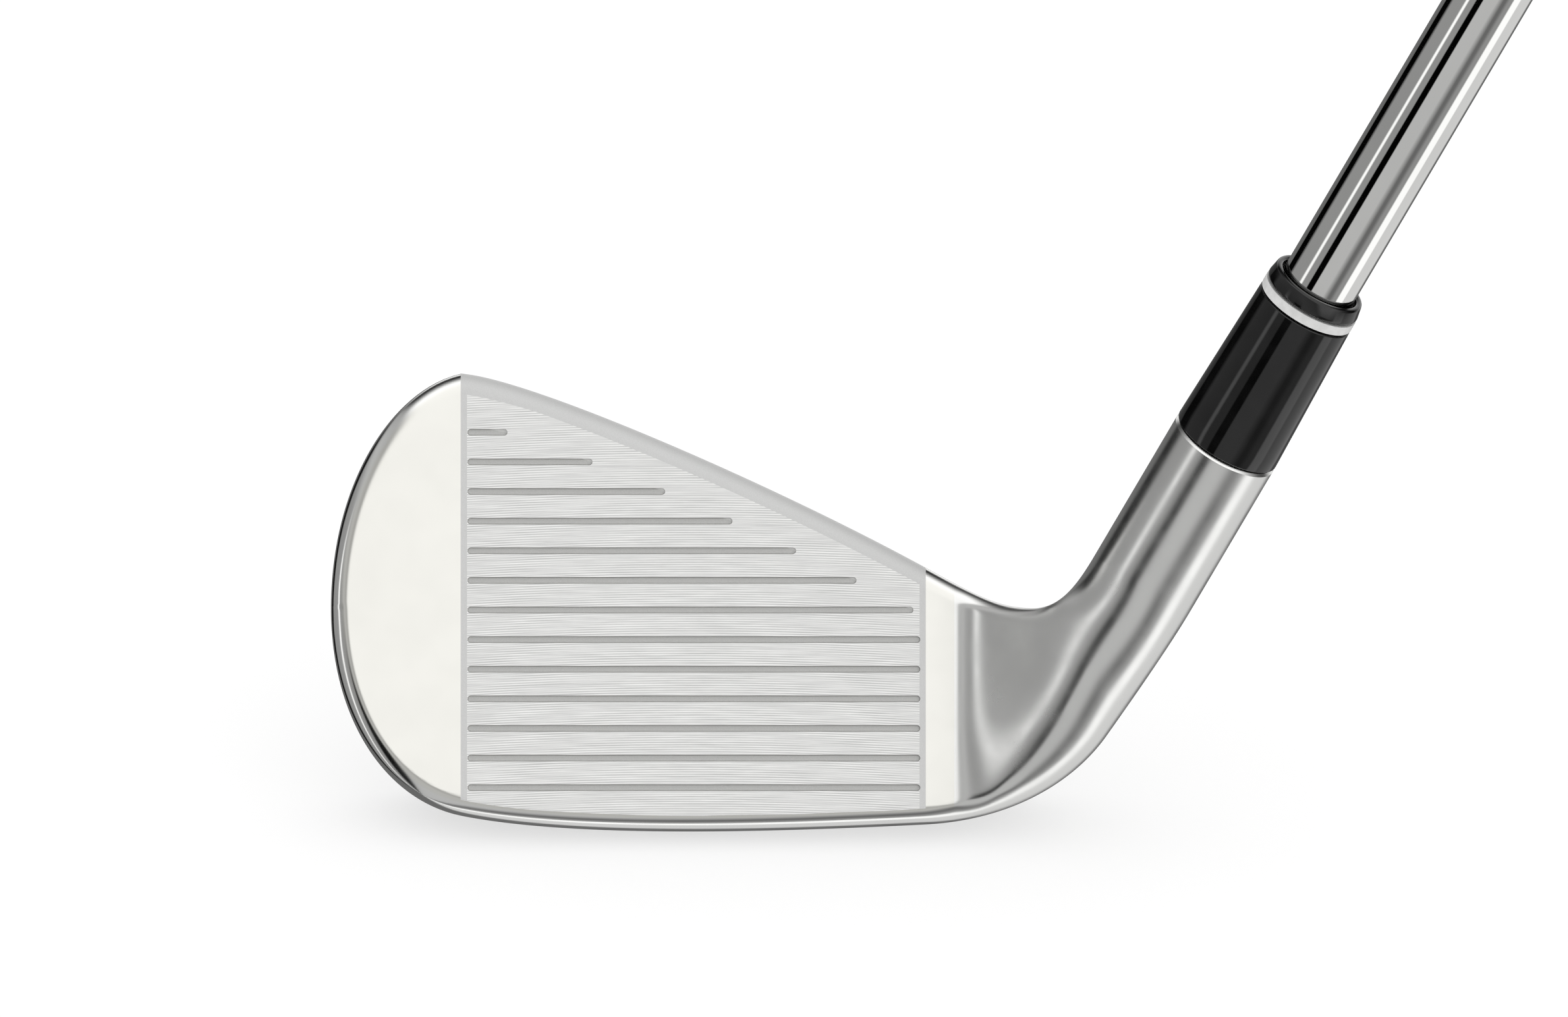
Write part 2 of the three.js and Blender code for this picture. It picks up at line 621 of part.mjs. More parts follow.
addPart(hoselFrame, 'ferrule_cap', cap, plastic(0x0b0b0b, 0.15));

addPart(hoselFrame, 'shaft', shaftGeometry(), metal(0xe4e4e4, 0.05));
addPart(hoselFrame, 'tip_weight', tipWeightGeometry(), metal(0xb08d57, 0.4));
const bandLow = GRIP_START - BAND_BELOW_GRIP - BAND_LENGTH;
const bandInner = SHAFT_BUTT_RADIUS + GAP;
const band = sleeve(bandInner, bandInner + 0.2, bandInner + 0.2, bandLow, bandLow + BAND_LENGTH, 32);
addPart(hoselFrame, 'shaft_band', band, plastic(0x3b3f45, 0.4));
const tapeStart = GRIP_START + 4;
const tapeEnd = SHAFT_END - 2;
const gripTape = sleeve(bandInner, bandInner + GAP, bandInner + GAP, tapeStart, tapeEnd, 24);
addPart(hoselFrame, 'grip_tape', gripTape, plastic(0xd9cfae, 0.9));
addPart(hoselFrame, 'grip_sleeve', gripGeometry(), plastic(0x151515, 0.8));
addPart(hoselFrame, 'grip_cap', capGeometry(), plastic(0x151515, 0.7));

export default club;
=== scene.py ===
import math

import bmesh
import bpy
import numpy as np
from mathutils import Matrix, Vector


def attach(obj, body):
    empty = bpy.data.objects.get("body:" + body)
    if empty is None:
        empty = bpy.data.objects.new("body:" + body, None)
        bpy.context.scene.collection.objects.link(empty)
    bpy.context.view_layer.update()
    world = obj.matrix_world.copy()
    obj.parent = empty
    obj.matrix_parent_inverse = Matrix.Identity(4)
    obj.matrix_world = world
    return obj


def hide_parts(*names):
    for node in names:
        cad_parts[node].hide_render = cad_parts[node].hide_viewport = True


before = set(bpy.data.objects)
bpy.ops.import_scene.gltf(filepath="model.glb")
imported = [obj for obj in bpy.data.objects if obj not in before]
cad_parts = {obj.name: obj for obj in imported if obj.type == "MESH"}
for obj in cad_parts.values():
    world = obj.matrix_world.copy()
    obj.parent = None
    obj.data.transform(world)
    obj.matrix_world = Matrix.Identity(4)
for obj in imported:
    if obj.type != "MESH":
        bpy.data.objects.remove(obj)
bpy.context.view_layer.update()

MM = 0.001
MM_PER_METRE = 1000.0

# ---- Driving dimensions, the same as the CAD's ----
LOFT, LIE = math.radians(25), math.radians(62)
FACE_ORIGIN = np.array([0, -8.13, 2.52])
HOSEL_FORWARD = 4.4
HOSEL_RADIUS = 6.675
HOSEL_TOP = np.array([64.1, 46.85])
HOSEL_STRAIGHT = 19.8
HOSEL_BEVEL = 0.3
BORE_RADIUS, BORE_DEPTH = 5.6, 26
RIM_ROLL = 2
TOP_ROLL_DEPTH, SOLE_ROLL_DEPTH, LEADING_SLOPE = 1.9, 3.2, 0.24
TOPLINE_THICKNESS, TOPLINE_CORNER = 5.4, 1.2
SHELF_THICKNESS, TOE_THICKNESS = 6, 6.5
SOLE_DEPTH, HEEL_SOLE_TAPER, SOLE_CAMBER = 16.6, 1.6, 1.1
TRAILING_EDGE, TRAILING_WIDTH = 6.3, 1.8
MUSCLE_TOP, MUSCLE_TOP_DEPTH, SHELF_START = 19, 0.3, 24
FULL_SECTION = 36
GAP = 0.3
FACE_THICKNESS = 2.9
CLUB_LENGTH = 965
FERRULE_LENGTH, FERRULE_BODY_TOP, FERRULE_TOP_RADIUS, RING_WIDTH = 23.9, 20.2, 6.1, 1.2
GRIP_LENGTH, GRIP_MOUTH_RADIUS, GRIP_BUTT_RADIUS, GRIP_INNER_RADIUS = 267, 9.6, 13.2, 8.52
CAP_THICKNESS, CAP_CHAMFER, VENT_RADIUS = 4, 2, 1.5
SHAFT_TIP_RADIUS, SHAFT_BUTT_RADIUS, SHAFT_WALL = 4.7, 7.62, 0.45
SHAFT_FIRST_STEP, SHAFT_STEP_PITCH, SHAFT_STEPS, STEP_LENGTH = 205, 34, 13, 1.2
TIP_WEIGHT_HEAD = 3.5
BAND_LENGTH, BAND_BELOW_GRIP = 38, 24

# ---- Frames ----
UP_FACE = np.array([0, math.sin(LOFT), math.cos(LOFT)])
OUT_OF_FACE = np.array([0, -math.cos(LOFT), math.sin(LOFT)])
AXIS = np.array([math.cos(LIE), 0, math.sin(LIE)])
AXIS_IN_FACE = np.array([AXIS[0], AXIS @ UP_FACE, AXIS @ OUT_OF_FACE])
SEEN_AXIS = AXIS_IN_FACE[:2] / np.linalg.norm(AXIS_IN_FACE[:2])


def from_face(points):
    """Face-frame points (x, up, out) in the row frame, in millimetres."""
    points = np.asarray(points, float)
    x_axis = np.array([1.0, 0, 0])
    return FACE_ORIGIN + points[..., :1] * x_axis + points[..., 1:2] * UP_FACE + points[..., 2:] * OUT_OF_FACE


def axis_height(up):
    return (up * math.sin(LOFT) - HOSEL_FORWARD) / math.cos(LOFT)


HOSEL_END_POINT = from_face([HOSEL_TOP[0], HOSEL_TOP[1], axis_height(HOSEL_TOP[1])])
CLUB_END = CLUB_LENGTH - HOSEL_END_POINT[2] / math.sin(LIE)
GRIP_START = CLUB_END - GRIP_LENGTH
SHAFT_END = CLUB_END - CAP_THICKNESS - GAP


def smooth(value, low, high):
    share = np.clip((value - low) / (high - low), 0, 1)
    return share * share * (3 - 2 * share)


def lerp(a, b, share):
    return a + (b - a) * share


# ---- Head outline ----
STRAIGHT_START = HOSEL_TOP - HOSEL_STRAIGHT * SEEN_AXIS
ACROSS = np.array([SEEN_AXIS[1], -SEEN_AXIS[0]])
CROTCH_END = STRAIGHT_START - HOSEL_RADIUS * ACROSS
HEEL_END = STRAIGHT_START + HOSEL_RADIUS * ACROSS
TOE_TIP = (-43.74, 26.8)
TOE_PEAK = (-28, 55.15)
FACE_TOP_END = (28, 31.75)
CROTCH = (41, 26.85)
TOE_SOLE = (-28, 1.75)
FACE_SOLE_END = (28, 0.7)
HEEL = (49.9, 11.5)
UPPER_EDGE = [
    [TOE_TIP, (-43.74, 42), (-36.2, 53.4), TOE_PEAK],
    [TOE_PEAK, (-20, 54.7), (10, 41.6), FACE_TOP_END],
    [FACE_TOP_END, (34.5, 28.2), (37, 26.85), CROTCH],
    [CROTCH, (44.2, 26.85), CROTCH_END - 4 * SEEN_AXIS, CROTCH_END],
]
LOWER_EDGE = [
    [TOE_TIP, (-43.74, 13.5), (-37.2, 3.6), TOE_SOLE],
    [TOE_SOLE, (-14, -1.05), (11, -0.15), FACE_SOLE_END],
    [FACE_SOLE_END, (38.5, 1.23), (46, 5.9), HEEL],
    [HEEL, (52.3, 14.9), HEEL_END - 5 * SEEN_AXIS, HEEL_END],
]


def bezier(points, v):
    a, b, c, d = (np.asarray(p, float) for p in points)
    v = np.asarray(v, float)[..., None]
    return (1 - v) ** 3 * a + 3 * v * (1 - v) ** 2 * b + 3 * v * v * (1 - v) * c + v**3 * d


class Edge:
    """A run of Bezier pieces whose speed along the edge never jumps."""

    def __init__(self, pieces):
        self.pieces = pieces
        self.share = np.linspace(0, 1, 401)
        self.lengths = []
        for piece in pieces:
            steps = np.linalg.norm(np.diff(bezier(piece, self.share), axis=0), axis=1)
            self.lengths.append(np.concatenate([[0], np.cumsum(steps)]))
        full = np.array([table[-1] for table in self.lengths])
        inner = 2 * full[1:] * full[:-1] / (full[1:] + full[:-1])
        self.full = full
        self.speed = np.concatenate([full[:1], inner, full[-1:]])

    def at(self, u):
        u = np.atleast_1d(np.asarray(u, float))
        out = np.zeros((len(u), 2))
        for k, piece in enumerate(self.pieces):
            here = (u >= k) & ((u < k + 1) | (k == len(self.pieces) - 1))
            h = u[here] - k
            run = (h**3 - 2 * h**2 + h) * self.speed[k] + (h**3 - h**2) * self.speed[k + 1]
            run += (3 * h**2 - 2 * h**3) * self.full[k]
            out[here] = bezier(piece, np.interp(run, self.lengths[k], self.share))
        return out


upper, lower = Edge(UPPER_EDGE), Edge(LOWER_EDGE)

# ---- Head sections ----
HOSEL_DEPTH = HOSEL_RADIUS / math.hypot(AXIS_IN_FACE[0], AXIS_IN_FACE[1])
SCOOP_START = 31.7  # the flat face ends here, on a straight line across it
SCOOP_SOFT = 4.5  # width over which the scoop's slope sets in
SCOOP_SLOPE = 0.5
SCOOP_JOIN = 0.3  # where it meets the hosel's near side, as a share of the hosel's radius
SCOOP_FADE = (-12, 33)
CREASE_FADE = (4, 14)
# Along the lower edge, its rounding grows from the blade's to the hosel's between these distances.
HEEL_RUN = (-5.6, 27)
HOSEL_ROUND = (3.15, 3.9)
BACK_ROUND = (2.15, 3.6)
rim_u = np.linspace(0, 4, 700)


class Rim:
    def __init__(self, edge):
        line = edge.at(rim_u)
        self.start = line[:-1]
        self.run = np.diff(line, axis=0)
        self.size = np.linalg.norm(self.run, axis=1)
        self.from_toe = np.concatenate([[0], np.cumsum(self.size)])

    def nearest(self, points):
        """Distance in from the edge, and how far along the edge from the toe."""
        offset = points[:, None] - self.start[None]
        share = (offset * self.run).sum(2) / self.size**2
        share[:, :-1] = np.minimum(share[:, :-1], 1)
        share = np.maximum(share, 0)
        gap = np.linalg.norm(offset - share[..., None] * self.run, axis=2)
        best = gap.argmin(1)
        row = np.arange(len(points))
        return gap[row, best], self.from_toe[best] + share[row, best] * self.size[best]


upper_rim, lower_rim = Rim(upper), Rim(lower)
HEEL_START = np.interp(SCOOP_START, lower.at(rim_u)[200:500, 0], lower_rim.from_toe[200:500])


def roll(distance, width, depth):
    """How far a rounded edge falls away, at a distance in from it."""
    inside = np.clip(1 - distance / width, 0, 1)
    return depth * (1 - np.sqrt(1 - inside**2))


def front_height(points):
    """Height of the front without its rounded edges: the face plane, the scoop and the hosel's near side."""
    x, up = points[:, 0], points[:, 1]
    offset = (points - HOSEL_TOP) @ ACROSS
    beside = np.minimum(offset, 0) / HOSEL_RADIUS
    near_side = axis_height(up + offset * SEEN_AXIS[0]) + HOSEL_DEPTH * np.sqrt(np.maximum(1 - beside**2, 0))

    # Straight across at this height: from the flat face to the tangent of the cylinder.
    join = HOSEL_TOP[0] + (-SCOOP_JOIN * HOSEL_RADIUS - (up - HOSEL_TOP[1]) * ACROSS[1]) / ACROSS[0]
    steep = math.sqrt(1 - SCOOP_JOIN**2)
    rise = axis_height(up - SCOOP_JOIN * HOSEL_RADIUS * SEEN_AXIS[0]) + HOSEL_DEPTH * steep
    round_slope = HOSEL_DEPTH / HOSEL_RADIUS * ACROSS[0] * SCOOP_JOIN / steep
    slope = math.tan(LOFT) * SEEN_AXIS[0] * ACROSS[0] + round_slope
    width = np.maximum(join - SCOOP_START, 0.5)
    begin = np.clip(x - SCOOP_START, 0, SCOOP_SOFT)
    eased_in = begin**2 / (2 * SCOOP_SOFT) + np.maximum(x - SCOOP_START - SCOOP_SOFT, 0)
    share = np.clip((x - SCOOP_START) / width, 0, 1)
    scoop = rise * (3 * share**2 - 2 * share**3) + slope * width * (share**3 - share**2)
    fade = smooth(x - SCOOP_START + 0.9 * up, *SCOOP_FADE)
    inside = fade * np.where(x < join, scoop, near_side)
    return inside + SCOOP_SLOPE * smooth(up, *CREASE_FADE) * eased_in * (1 - share) ** 2


def back_profile(u, length):
    shrink = length / (length**4 + FULL_SECTION**4) ** 0.25
    sole_share = min(u, 1) ** 1.2
    slant = shrink * sole_share
    depth = lerp(TOE_THICKNESS, SOLE_DEPTH, sole_share) - HEEL_SOLE_TAPER * smooth(u, 1.4, 2.4)
    roll = lerp(TOP_ROLL_DEPTH, SOLE_ROLL_DEPTH, sole_share)
    shelf = min(SHELF_THICKNESS, depth - GAP)
    topline = min(TOPLINE_THICKNESS, depth - 2 * GAP)
    trailing = TRAILING_EDGE * slant
    soft = shrink * (1 + 3 * smooth(u, *BACK_ROUND))
    return [
        (0, -roll, 0),
        (SOLE_CAMBER * slant, -lerp(roll, depth, 0.38), 2.5 * soft),
        (trailing, -depth, 1.2 * soft),
        (trailing + TRAILING_WIDTH * shrink, -depth, 1.2 * soft),
        (MUSCLE_TOP * shrink, -lerp(shelf, depth, MUSCLE_TOP_DEPTH), 2.5 * soft),
        (SHELF_START * shrink, -shelf, 2 * soft),
        (length - min(TOPLINE_CORNER, length / 5), -topline, 0.8 * soft),
        (length, -TOP_ROLL_DEPTH, 0),
    ]


def round_profile(corners, steps):
    """Rounds the corners, and adds points along the straights so that they shade flat."""
    points = np.array([corner[:2] for corner in corners], float)
    rounded = [points[0]]
    share = np.linspace(0, 1, steps + 1)[:, None]
    for i in range(1, len(points) - 1):
        before, after = points[i - 1] - points[i], points[i + 1] - points[i]
        start = points[i] + before * min(corners[i][2] / np.linalg.norm(before), 0.45)
        end = points[i] + after * min(corners[i][2] / np.linalg.norm(after), 0.45)
        arc = (1 - share) ** 2 * start + 2 * share * (1 - share) * points[i] + share**2 * end
        last = rounded[-1]
        rounded += [lerp(last, arc[0], s) for s in (0.08, 0.5, 0.92)]
        rounded += list(arc)
    rounded += [lerp(rounded[-1], points[-1], s) for s in (0.08, 0.5, 0.92)]
    rounded.append(points[-1])
    return np.array(rounded)


def head_section(u, front_steps, corner_steps):
    top, bottom = upper.at(u)[0], lower.at(u)[0]
    length = np.linalg.norm(bottom - top)
    down = (bottom - top) / length

    def cross(a, b):
        return a[0] * b[1] - a[1] * b[0]

    axis_at = cross(HOSEL_TOP - top, SEEN_AXIS) / cross(down, SEEN_AXIS)
    hosel_height = axis_height(top[1] + down[1] * axis_at)

    def section_round(share):
        return HOSEL_DEPTH * np.sqrt(np.maximum(1 - (2 * share - 1) ** 2, 0))

    share = (1 - np.cos(np.pi * np.arange(front_steps + 1) / front_steps)) / 2
    seen = lerp(top, bottom, share[:, None])
    sole_share = min(u, 1) ** 1.2 * smooth(share, 0.3, 0.7)
    edge_depth = lerp(TOP_ROLL_DEPTH, SOLE_ROLL_DEPTH, sole_share)
    distance, along = lower_rim.nearest(seen)
    grown = smooth(along - HEEL_START, *HEEL_RUN)
    low = roll(distance, lerp(RIM_ROLL, HOSEL_RADIUS, grown), lerp(edge_depth, HOSEL_DEPTH, grown**1.7))
    low = low + LEADING_SLOPE * sole_share * (1 - grown) * np.maximum(RIM_ROLL - distance, 0)
    high = roll(upper_rim.nearest(seen)[0], RIM_ROLL, edge_depth * (1 - smooth(u, 2.6, 3.7)))
    blade = front_height(seen) - np.maximum(low, high)
    front = np.column_stack([seen, lerp(blade, hosel_height + section_round(share), smooth(u, *HOSEL_ROUND))])

    profile = round_profile(back_profile(u, length), corner_steps)
    inner = profile[1:-1]
    spread = smooth(u, *BACK_ROUND)
    even = (1 + np.cos(np.pi * np.arange(1, len(inner) + 1) / (len(profile) - 1))) / 2
    share = lerp(1 - inner[:, 0] / length, even, spread)
    height = lerp(inner[:, 1], hosel_height - section_round(share), spread)
    edge_heights = lerp(profile[[0, -1], 1], hosel_height, spread)
    height += (front[-1, 2] - edge_heights[0]) * share**4 + (front[0, 2] - edge_heights[1]) * (1 - share) ** 4
    back = np.column_stack([lerp(top, bottom, share[:, None]), height])
    return np.vstack([front, back])


def head_rings(front_steps, corner_steps):
    stations = np.concatenate([
        0.004 + 0.996 * (np.arange(60) / 60) ** 1.5,
        1 + np.arange(70) / 70,
        2 + np.arange(120) / 120,
        3 + np.arange(91) / 90,
    ])
    rings = [head_section(u, front_steps, corner_steps) for u in stations]
    end = np.array([HOSEL_TOP[0], HOSEL_TOP[1], axis_height(HOSEL_TOP[1])])
    last = rings[-1]

    def on_end(short):
        beyond = (last - end) @ AXIS_IN_FACE + short
        return last - beyond[:, None] * AXIS_IN_FACE

    for short in (6, 2, HOSEL_BEVEL * 1.3, HOSEL_BEVEL):
        rings.append(on_end(short))
    rings.append((on_end(0) - end) * (1 - HOSEL_BEVEL / HOSEL_RADIUS) + end)
    return rings


# ---- Mesh helpers ----
def make_object(name, vertices, faces):
    mesh = bpy.data.meshes.new(name)
    mesh.from_pydata((np.asarray(vertices) * MM).tolist(), [], faces)
    mesh.update()
    made = bpy.data.objects.new(name, mesh)
    bpy.context.scene.collection.objects.link(made)
    return made


def skin(rings, closed_ends=True):
    """Vertices and faces round a stack of rings with the same number of points."""
    count = len(rings[0])
    faces = []
    for k in range(len(rings) - 1):
        low, high = k * count, (k + 1) * count
        faces += [(low + i, low + (i + 1) % count, high + (i + 1) % count, high + i) for i in range(count)]
    if closed_ends:
        last = (len(rings) - 1) * count
        faces.append(tuple(range(count))[::-1])
        faces.append(tuple(last + i for i in range(count)))
    return np.vstack(rings), faces


def face_outward(obj):
    work = bmesh.new()
    work.from_mesh(obj.data)
    bmesh.ops.recalc_face_normals(work, faces=work.faces)
    work.to_mesh(obj.data)
    work.free()


def finish_piece(obj, node, material, sharp=32):
    """Smooth shading with crisp edges, outward normals, and its place in the assembly."""
    face_outward(obj)
    obj.data.shade_smooth()
    obj.data.set_sharp_from_angle(angle=math.radians(sharp))
    obj.data.materials.clear()
    obj.data.materials.append(material)
    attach(obj, "root")
    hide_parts(node)
    return obj


def cut(obj, cutter):
    tool = obj.modifiers.new("cut", "BOOLEAN")
    tool.operation = "DIFFERENCE"
    tool.solver = "EXACT"
    tool.object = cutter
    view = bpy.context.evaluated_depsgraph_get()
    mesh = bpy.data.meshes.new_from_object(obj.evaluated_get(view))
    obj.modifiers.clear()
    obj.data = mesh
    bpy.data.objects.remove(cutter)


def merge(parts):
    """Several (vertices, faces) as one."""
    vertices, faces, start = [], [], 0
    for points, polygons in parts:
        vertices.append(points)
        faces += [tuple(start + i for i in polygon) for polygon in polygons]
        start += len(points)
    return np.vstack(vertices), faces


def capsule(left, right, up, half_width, steps=8):
    turn = np.linspace(-np.pi / 2, np.pi / 2, steps + 1)
    end = np.column_stack([right - half_width + half_width * np.cos(turn), up + half_width * np.sin(turn)])
    start = np.column_stack([left + half_width - half_width * np.cos(turn), up - half_width * np.sin(turn)])
    return np.vstack([end, start])


def prism(outlines, heights):
    """A closed solid from outlines with the same number of points, each at a height out of the face."""
    rings = [np.column_stack([line, np.full(len(line), high)]) for line, high in zip(outlines, heights)]
    return skin([from_face(ring) for ring in rings])


def turned_rings(profile, sides):
    """Rings round the shaft axis from (radius, height) points, in millimetres."""
    side_x = np.array([math.sin(LIE), 0, -math.cos(LIE)])
    side_y = np.array([0.0, 1, 0])
    turn = 2 * np.pi * np.arange(sides) / sides
    spokes = np.cos(turn)[:, None] * side_x + np.sin(turn)[:, None] * side_y
    return [HOSEL_END_POINT + height * AXIS + radius * spokes for radius, height in profile]


def sleeve(name, profile, sides=96):
    """A turned piece whose profile is a closed loop, so it has a hole through it."""
    vertices, faces = skin(turned_rings(profile, sides), closed_ends=False)
    last = (len(profile) - 1) * sides
    faces += [(last + i, last + (i + 1) % sides, (i + 1) % sides, i) for i in range(sides)]
    return make_object(name, vertices, faces)


def eased(profile, size=0.12, steps=3):
    """Rounds the corners of a closed (radius, height) loop, and adds a point near the start of each side."""
    points = np.array(profile, float)
    out = []
    for i, corner in enumerate(points):
        before, after = points[i - 1] - corner, points[(i + 1) % len(points)] - corner
        start = corner + before * min(size / np.linalg.norm(before), 0.4)
        end = corner + after * min(size / np.linalg.norm(after), 0.4)
        for share in np.linspace(0, 1, steps + 1):
            out.append((1 - share) ** 2 * start + 2 * share * (1 - share) * corner + share**2 * end)
        out.append(lerp(end, points[(i + 1) % len(points)], 0.08))
    return out


# ---- Material helpers ----
class Nodes:
    def __init__(self, name, base, metallic=0.0, roughness=0.5):
        self.material = bpy.data.materials.new(name)
        self.material.use_nodes = True
        self.tree = self.material.node_tree
        self.shader = self.tree.nodes["Principled BSDF"]
        self.shader.inputs["Base Color"].default_value = (*base, 1)
        self.shader.inputs["Metallic"].default_value = metallic
        self.shader.inputs["Roughness"].default_value = roughness
        self.place = self.new("ShaderNodeTexCoord").outputs["Object"]

    def new(self, kind, **settings):
        node = self.tree.nodes.new(kind)
        for key, value in settings.items():
            setattr(node, key, value)
        return node

    def put(self, socket, value):
        if isinstance(value, bpy.types.NodeSocket):
            self.tree.links.new(value, socket)
        else:
            socket.default_value = value

    def math(self, operation, a, b=0.0):
        node = self.new("ShaderNodeMath", operation=operation)
        for socket, value in zip(node.inputs, (a, b)):
            self.put(socket, value)
        return node.outputs[0]

    def dot(self, vector, direction):
        node = self.new("ShaderNodeVectorMath", operation="DOT_PRODUCT")
        self.put(node.inputs[0], vector)
        node.inputs[1].default_value = tuple(direction)
        return node.outputs["Value"]

    def range(self, value, low, high, to_low=0.0, to_high=1.0, kind="SMOOTHSTEP"):
        node = self.new("ShaderNodeMapRange", interpolation_type=kind)
        for socket, given in zip(node.inputs, (value, low, high, to_low, to_high)):
            self.put(socket, given)
        return node.outputs[0]

    def mix(self, share, a, b):
        """Between two numbers or two colours."""
        colour = not all(isinstance(x, (int, float)) or getattr(x, "type", "") == "VALUE" for x in (a, b))
        node = self.new("ShaderNodeMix", data_type="RGBA" if colour else "FLOAT")
        first = 6 if colour else 2
        self.put(node.inputs[0], share)
        for socket, value in zip(node.inputs[first:first + 2], (a, b)):
            self.put(socket, (*value, 1) if isinstance(value, tuple) and len(value) == 3 else value)
        return node.outputs[2 if colour else 0]

    def noise(self, scale, detail=3.0, vector=None, rough=0.5):
        node = self.new("ShaderNodeTexNoise")
        self.put(node.inputs["Vector"], vector or self.place)
        node.inputs["Scale"].default_value = scale
        node.inputs["Detail"].default_value = detail
        node.inputs["Roughness"].default_value = rough
        return node.outputs["Fac"]

    def stretched(self, scale):
        node = self.new("ShaderNodeMapping")
        self.put(node.inputs["Vector"], self.place)
        node.inputs["Scale"].default_value = scale
        return node.outputs[0]

    def bump(self, height, distance, strength=1.0):
        node = self.new("ShaderNodeBump")
        self.put(node.inputs["Height"], height)
        node.inputs["Distance"].default_value = distance
        node.inputs["Strength"].default_value = strength
        return node.outputs[0]

    def set(self, name, value):
        self.put(self.shader.inputs[name], value)


def linear(*srgb):
    return tuple(v / 12.92 if v <= 0.04045 else ((v + 0.055) / 1.055) ** 2.4 for v in (c / 255 for c in srgb))


# ---- Head: satin chrome, with the milled and blasted hitting area ----
AREA_HALF_WIDTH = 28.06
AREA_MARGIN = 0.76
MILL_PITCH, MILL_PITCH_2 = 0.275, 0.298
MILL_RADIUS = 390
TOPLINE_BAND = 2.4


def head_material():
    m = Nodes("head_finish", linear(241, 240, 236), 1.0, 0.26)
    x = m.math("MULTIPLY", m.dot(m.place, (1, 0, 0)), MM_PER_METRE)

    def from_face_origin(direction):
        along = m.math("MULTIPLY", m.dot(m.place, direction), MM_PER_METRE)
        return m.math("ADD", along, -float(FACE_ORIGIN @ direction))

    up = from_face_origin(UP_FACE)
    out = from_face_origin(OUT_OF_FACE)

    # Height of the topline over each x, from points along its long edge.
    line = m.new("ShaderNodeFloatCurve")
    xs = np.linspace(-28.06, 28.06, 9)
    dense = bezier(UPPER_EDGE[1], np.linspace(0, 1, 400))
    heights = np.interp(xs, dense[:, 0], dense[:, 1])
    curve = line.mapping.curves[0]
    while len(curve.points) < len(xs):
        curve.points.new(0.5, 0.5)
    for point, px, py in zip(curve.points, xs, heights):
        point.location = ((px + 30) / 60, py / 60)
    line.mapping.update()
    m.put(line.inputs["Value"], m.math("DIVIDE", m.math("ADD", x, 30.0), 60.0))
    topline = m.math("MULTIPLY", line.outputs[0], 60.0)
    below_topline = m.math("SUBTRACT", topline, up)

    side = m.math("ABSOLUTE", x)
    in_width = m.math("LESS_THAN", side, AREA_HALF_WIDTH)
    on_front = m.math("GREATER_THAN", out, -0.03)
    near_top = m.math("LESS_THAN", below_topline, 6.0)
    on_top_roll = m.math("MULTIPLY", near_top, m.math("GREATER_THAN", out, -TOP_ROLL_DEPTH - 0.1))
    area = m.math("MULTIPLY", in_width, m.math("MAXIMUM", on_front, on_top_roll))
    sunk = m.math("MULTIPLY", m.math("LESS_THAN", out, -0.012), m.math("GREATER_THAN", out, -0.6))
    in_groove = m.math("MULTIPLY", m.math("LESS_THAN", side, 27.9), sunk)
    clear = m.math("MULTIPLY", m.math("GREATER_THAN", below_topline, 5.0), m.math("GREATER_THAN", up, 4.0))
    in_groove = m.math("MULTIPLY", in_groove, clear)
    within = m.math("LESS_THAN", side, AREA_HALF_WIDTH - AREA_MARGIN)
    bordered = m.math("MULTIPLY", within, m.math("GREATER_THAN", below_topline, TOPLINE_BAND))
    milled = m.math("MULTIPLY", area, bordered)

    # Fly-cut arcs in two passes that cross at a very small angle.
    bend = m.math("DIVIDE", m.math("MULTIPLY", x, x), 2.0 * MILL_RADIUS)
    arc = m.math("ADD", up, bend)
    waver = m.math("MULTIPLY", m.math("SUBTRACT", m.noise(1.0, 2.0, m.stretched((60, 400, 400))), 0.5), 0.10)
    first = m.math("SINE", m.math("MULTIPLY", m.math("ADD", arc, waver), 2 * math.pi / MILL_PITCH))
    flatter = m.math("ADD", up, m.math("MULTIPLY", bend, 0.55))
    second = m.math("SINE", m.math("MULTIPLY", flatter, 2 * math.pi / MILL_PITCH_2))
    lines = m.math("ADD", m.math("MULTIPLY", first, 0.5), m.math("MULTIPLY", second, 0.5))
    streak = m.noise(1.0, 3.0, m.stretched((180, 3600, 3600)), 0.6)
    uneven = m.math("MULTIPLY", m.math("SUBTRACT", streak, 0.5), 0.9)
    lines = m.math("ADD", m.math("MULTIPLY", lines, 0.42), uneven)
    grain = m.noise(9000.0, 2.0)

    flat = m.math("MULTIPLY", m.math("LESS_THAN", x, 31.5), m.range(out, -0.3, -0.02))
    plain = m.mix(m.range(m.noise(55.0, 2.0), 0.3, 0.7), linear(242, 242, 240), linear(239, 239, 237))
    ivory = m.mix(m.range(m.noise(90.0, 2.0), 0.3, 0.7), linear(239, 238, 232), linear(237, 236, 230))
    plain = m.mix(flat, plain, ivory)
    blasted = m.mix(m.range(grain, 0.35, 0.65), linear(203, 203, 202), linear(210, 210, 209))
    # The milled arcs are real relief in the bump; their crests are also painted lighter and their troughs
    # darker, as painted highlight and shade.
    crest = m.range(lines, -0.55, 0.55, kind="LINEAR")
    milled_arcs_and_painted_light = m.mix(crest, linear(190, 190, 189), linear(250, 250, 248))
    groove = m.mix(m.range(grain, 0.3, 0.7), linear(208, 208, 206), linear(216, 216, 214))
    colour = m.mix(area, plain, blasted)
    colour = m.mix(milled, colour, milled_arcs_and_painted_light)
    colour = m.mix(in_groove, colour, groove)
    m.set("Base Color", colour)

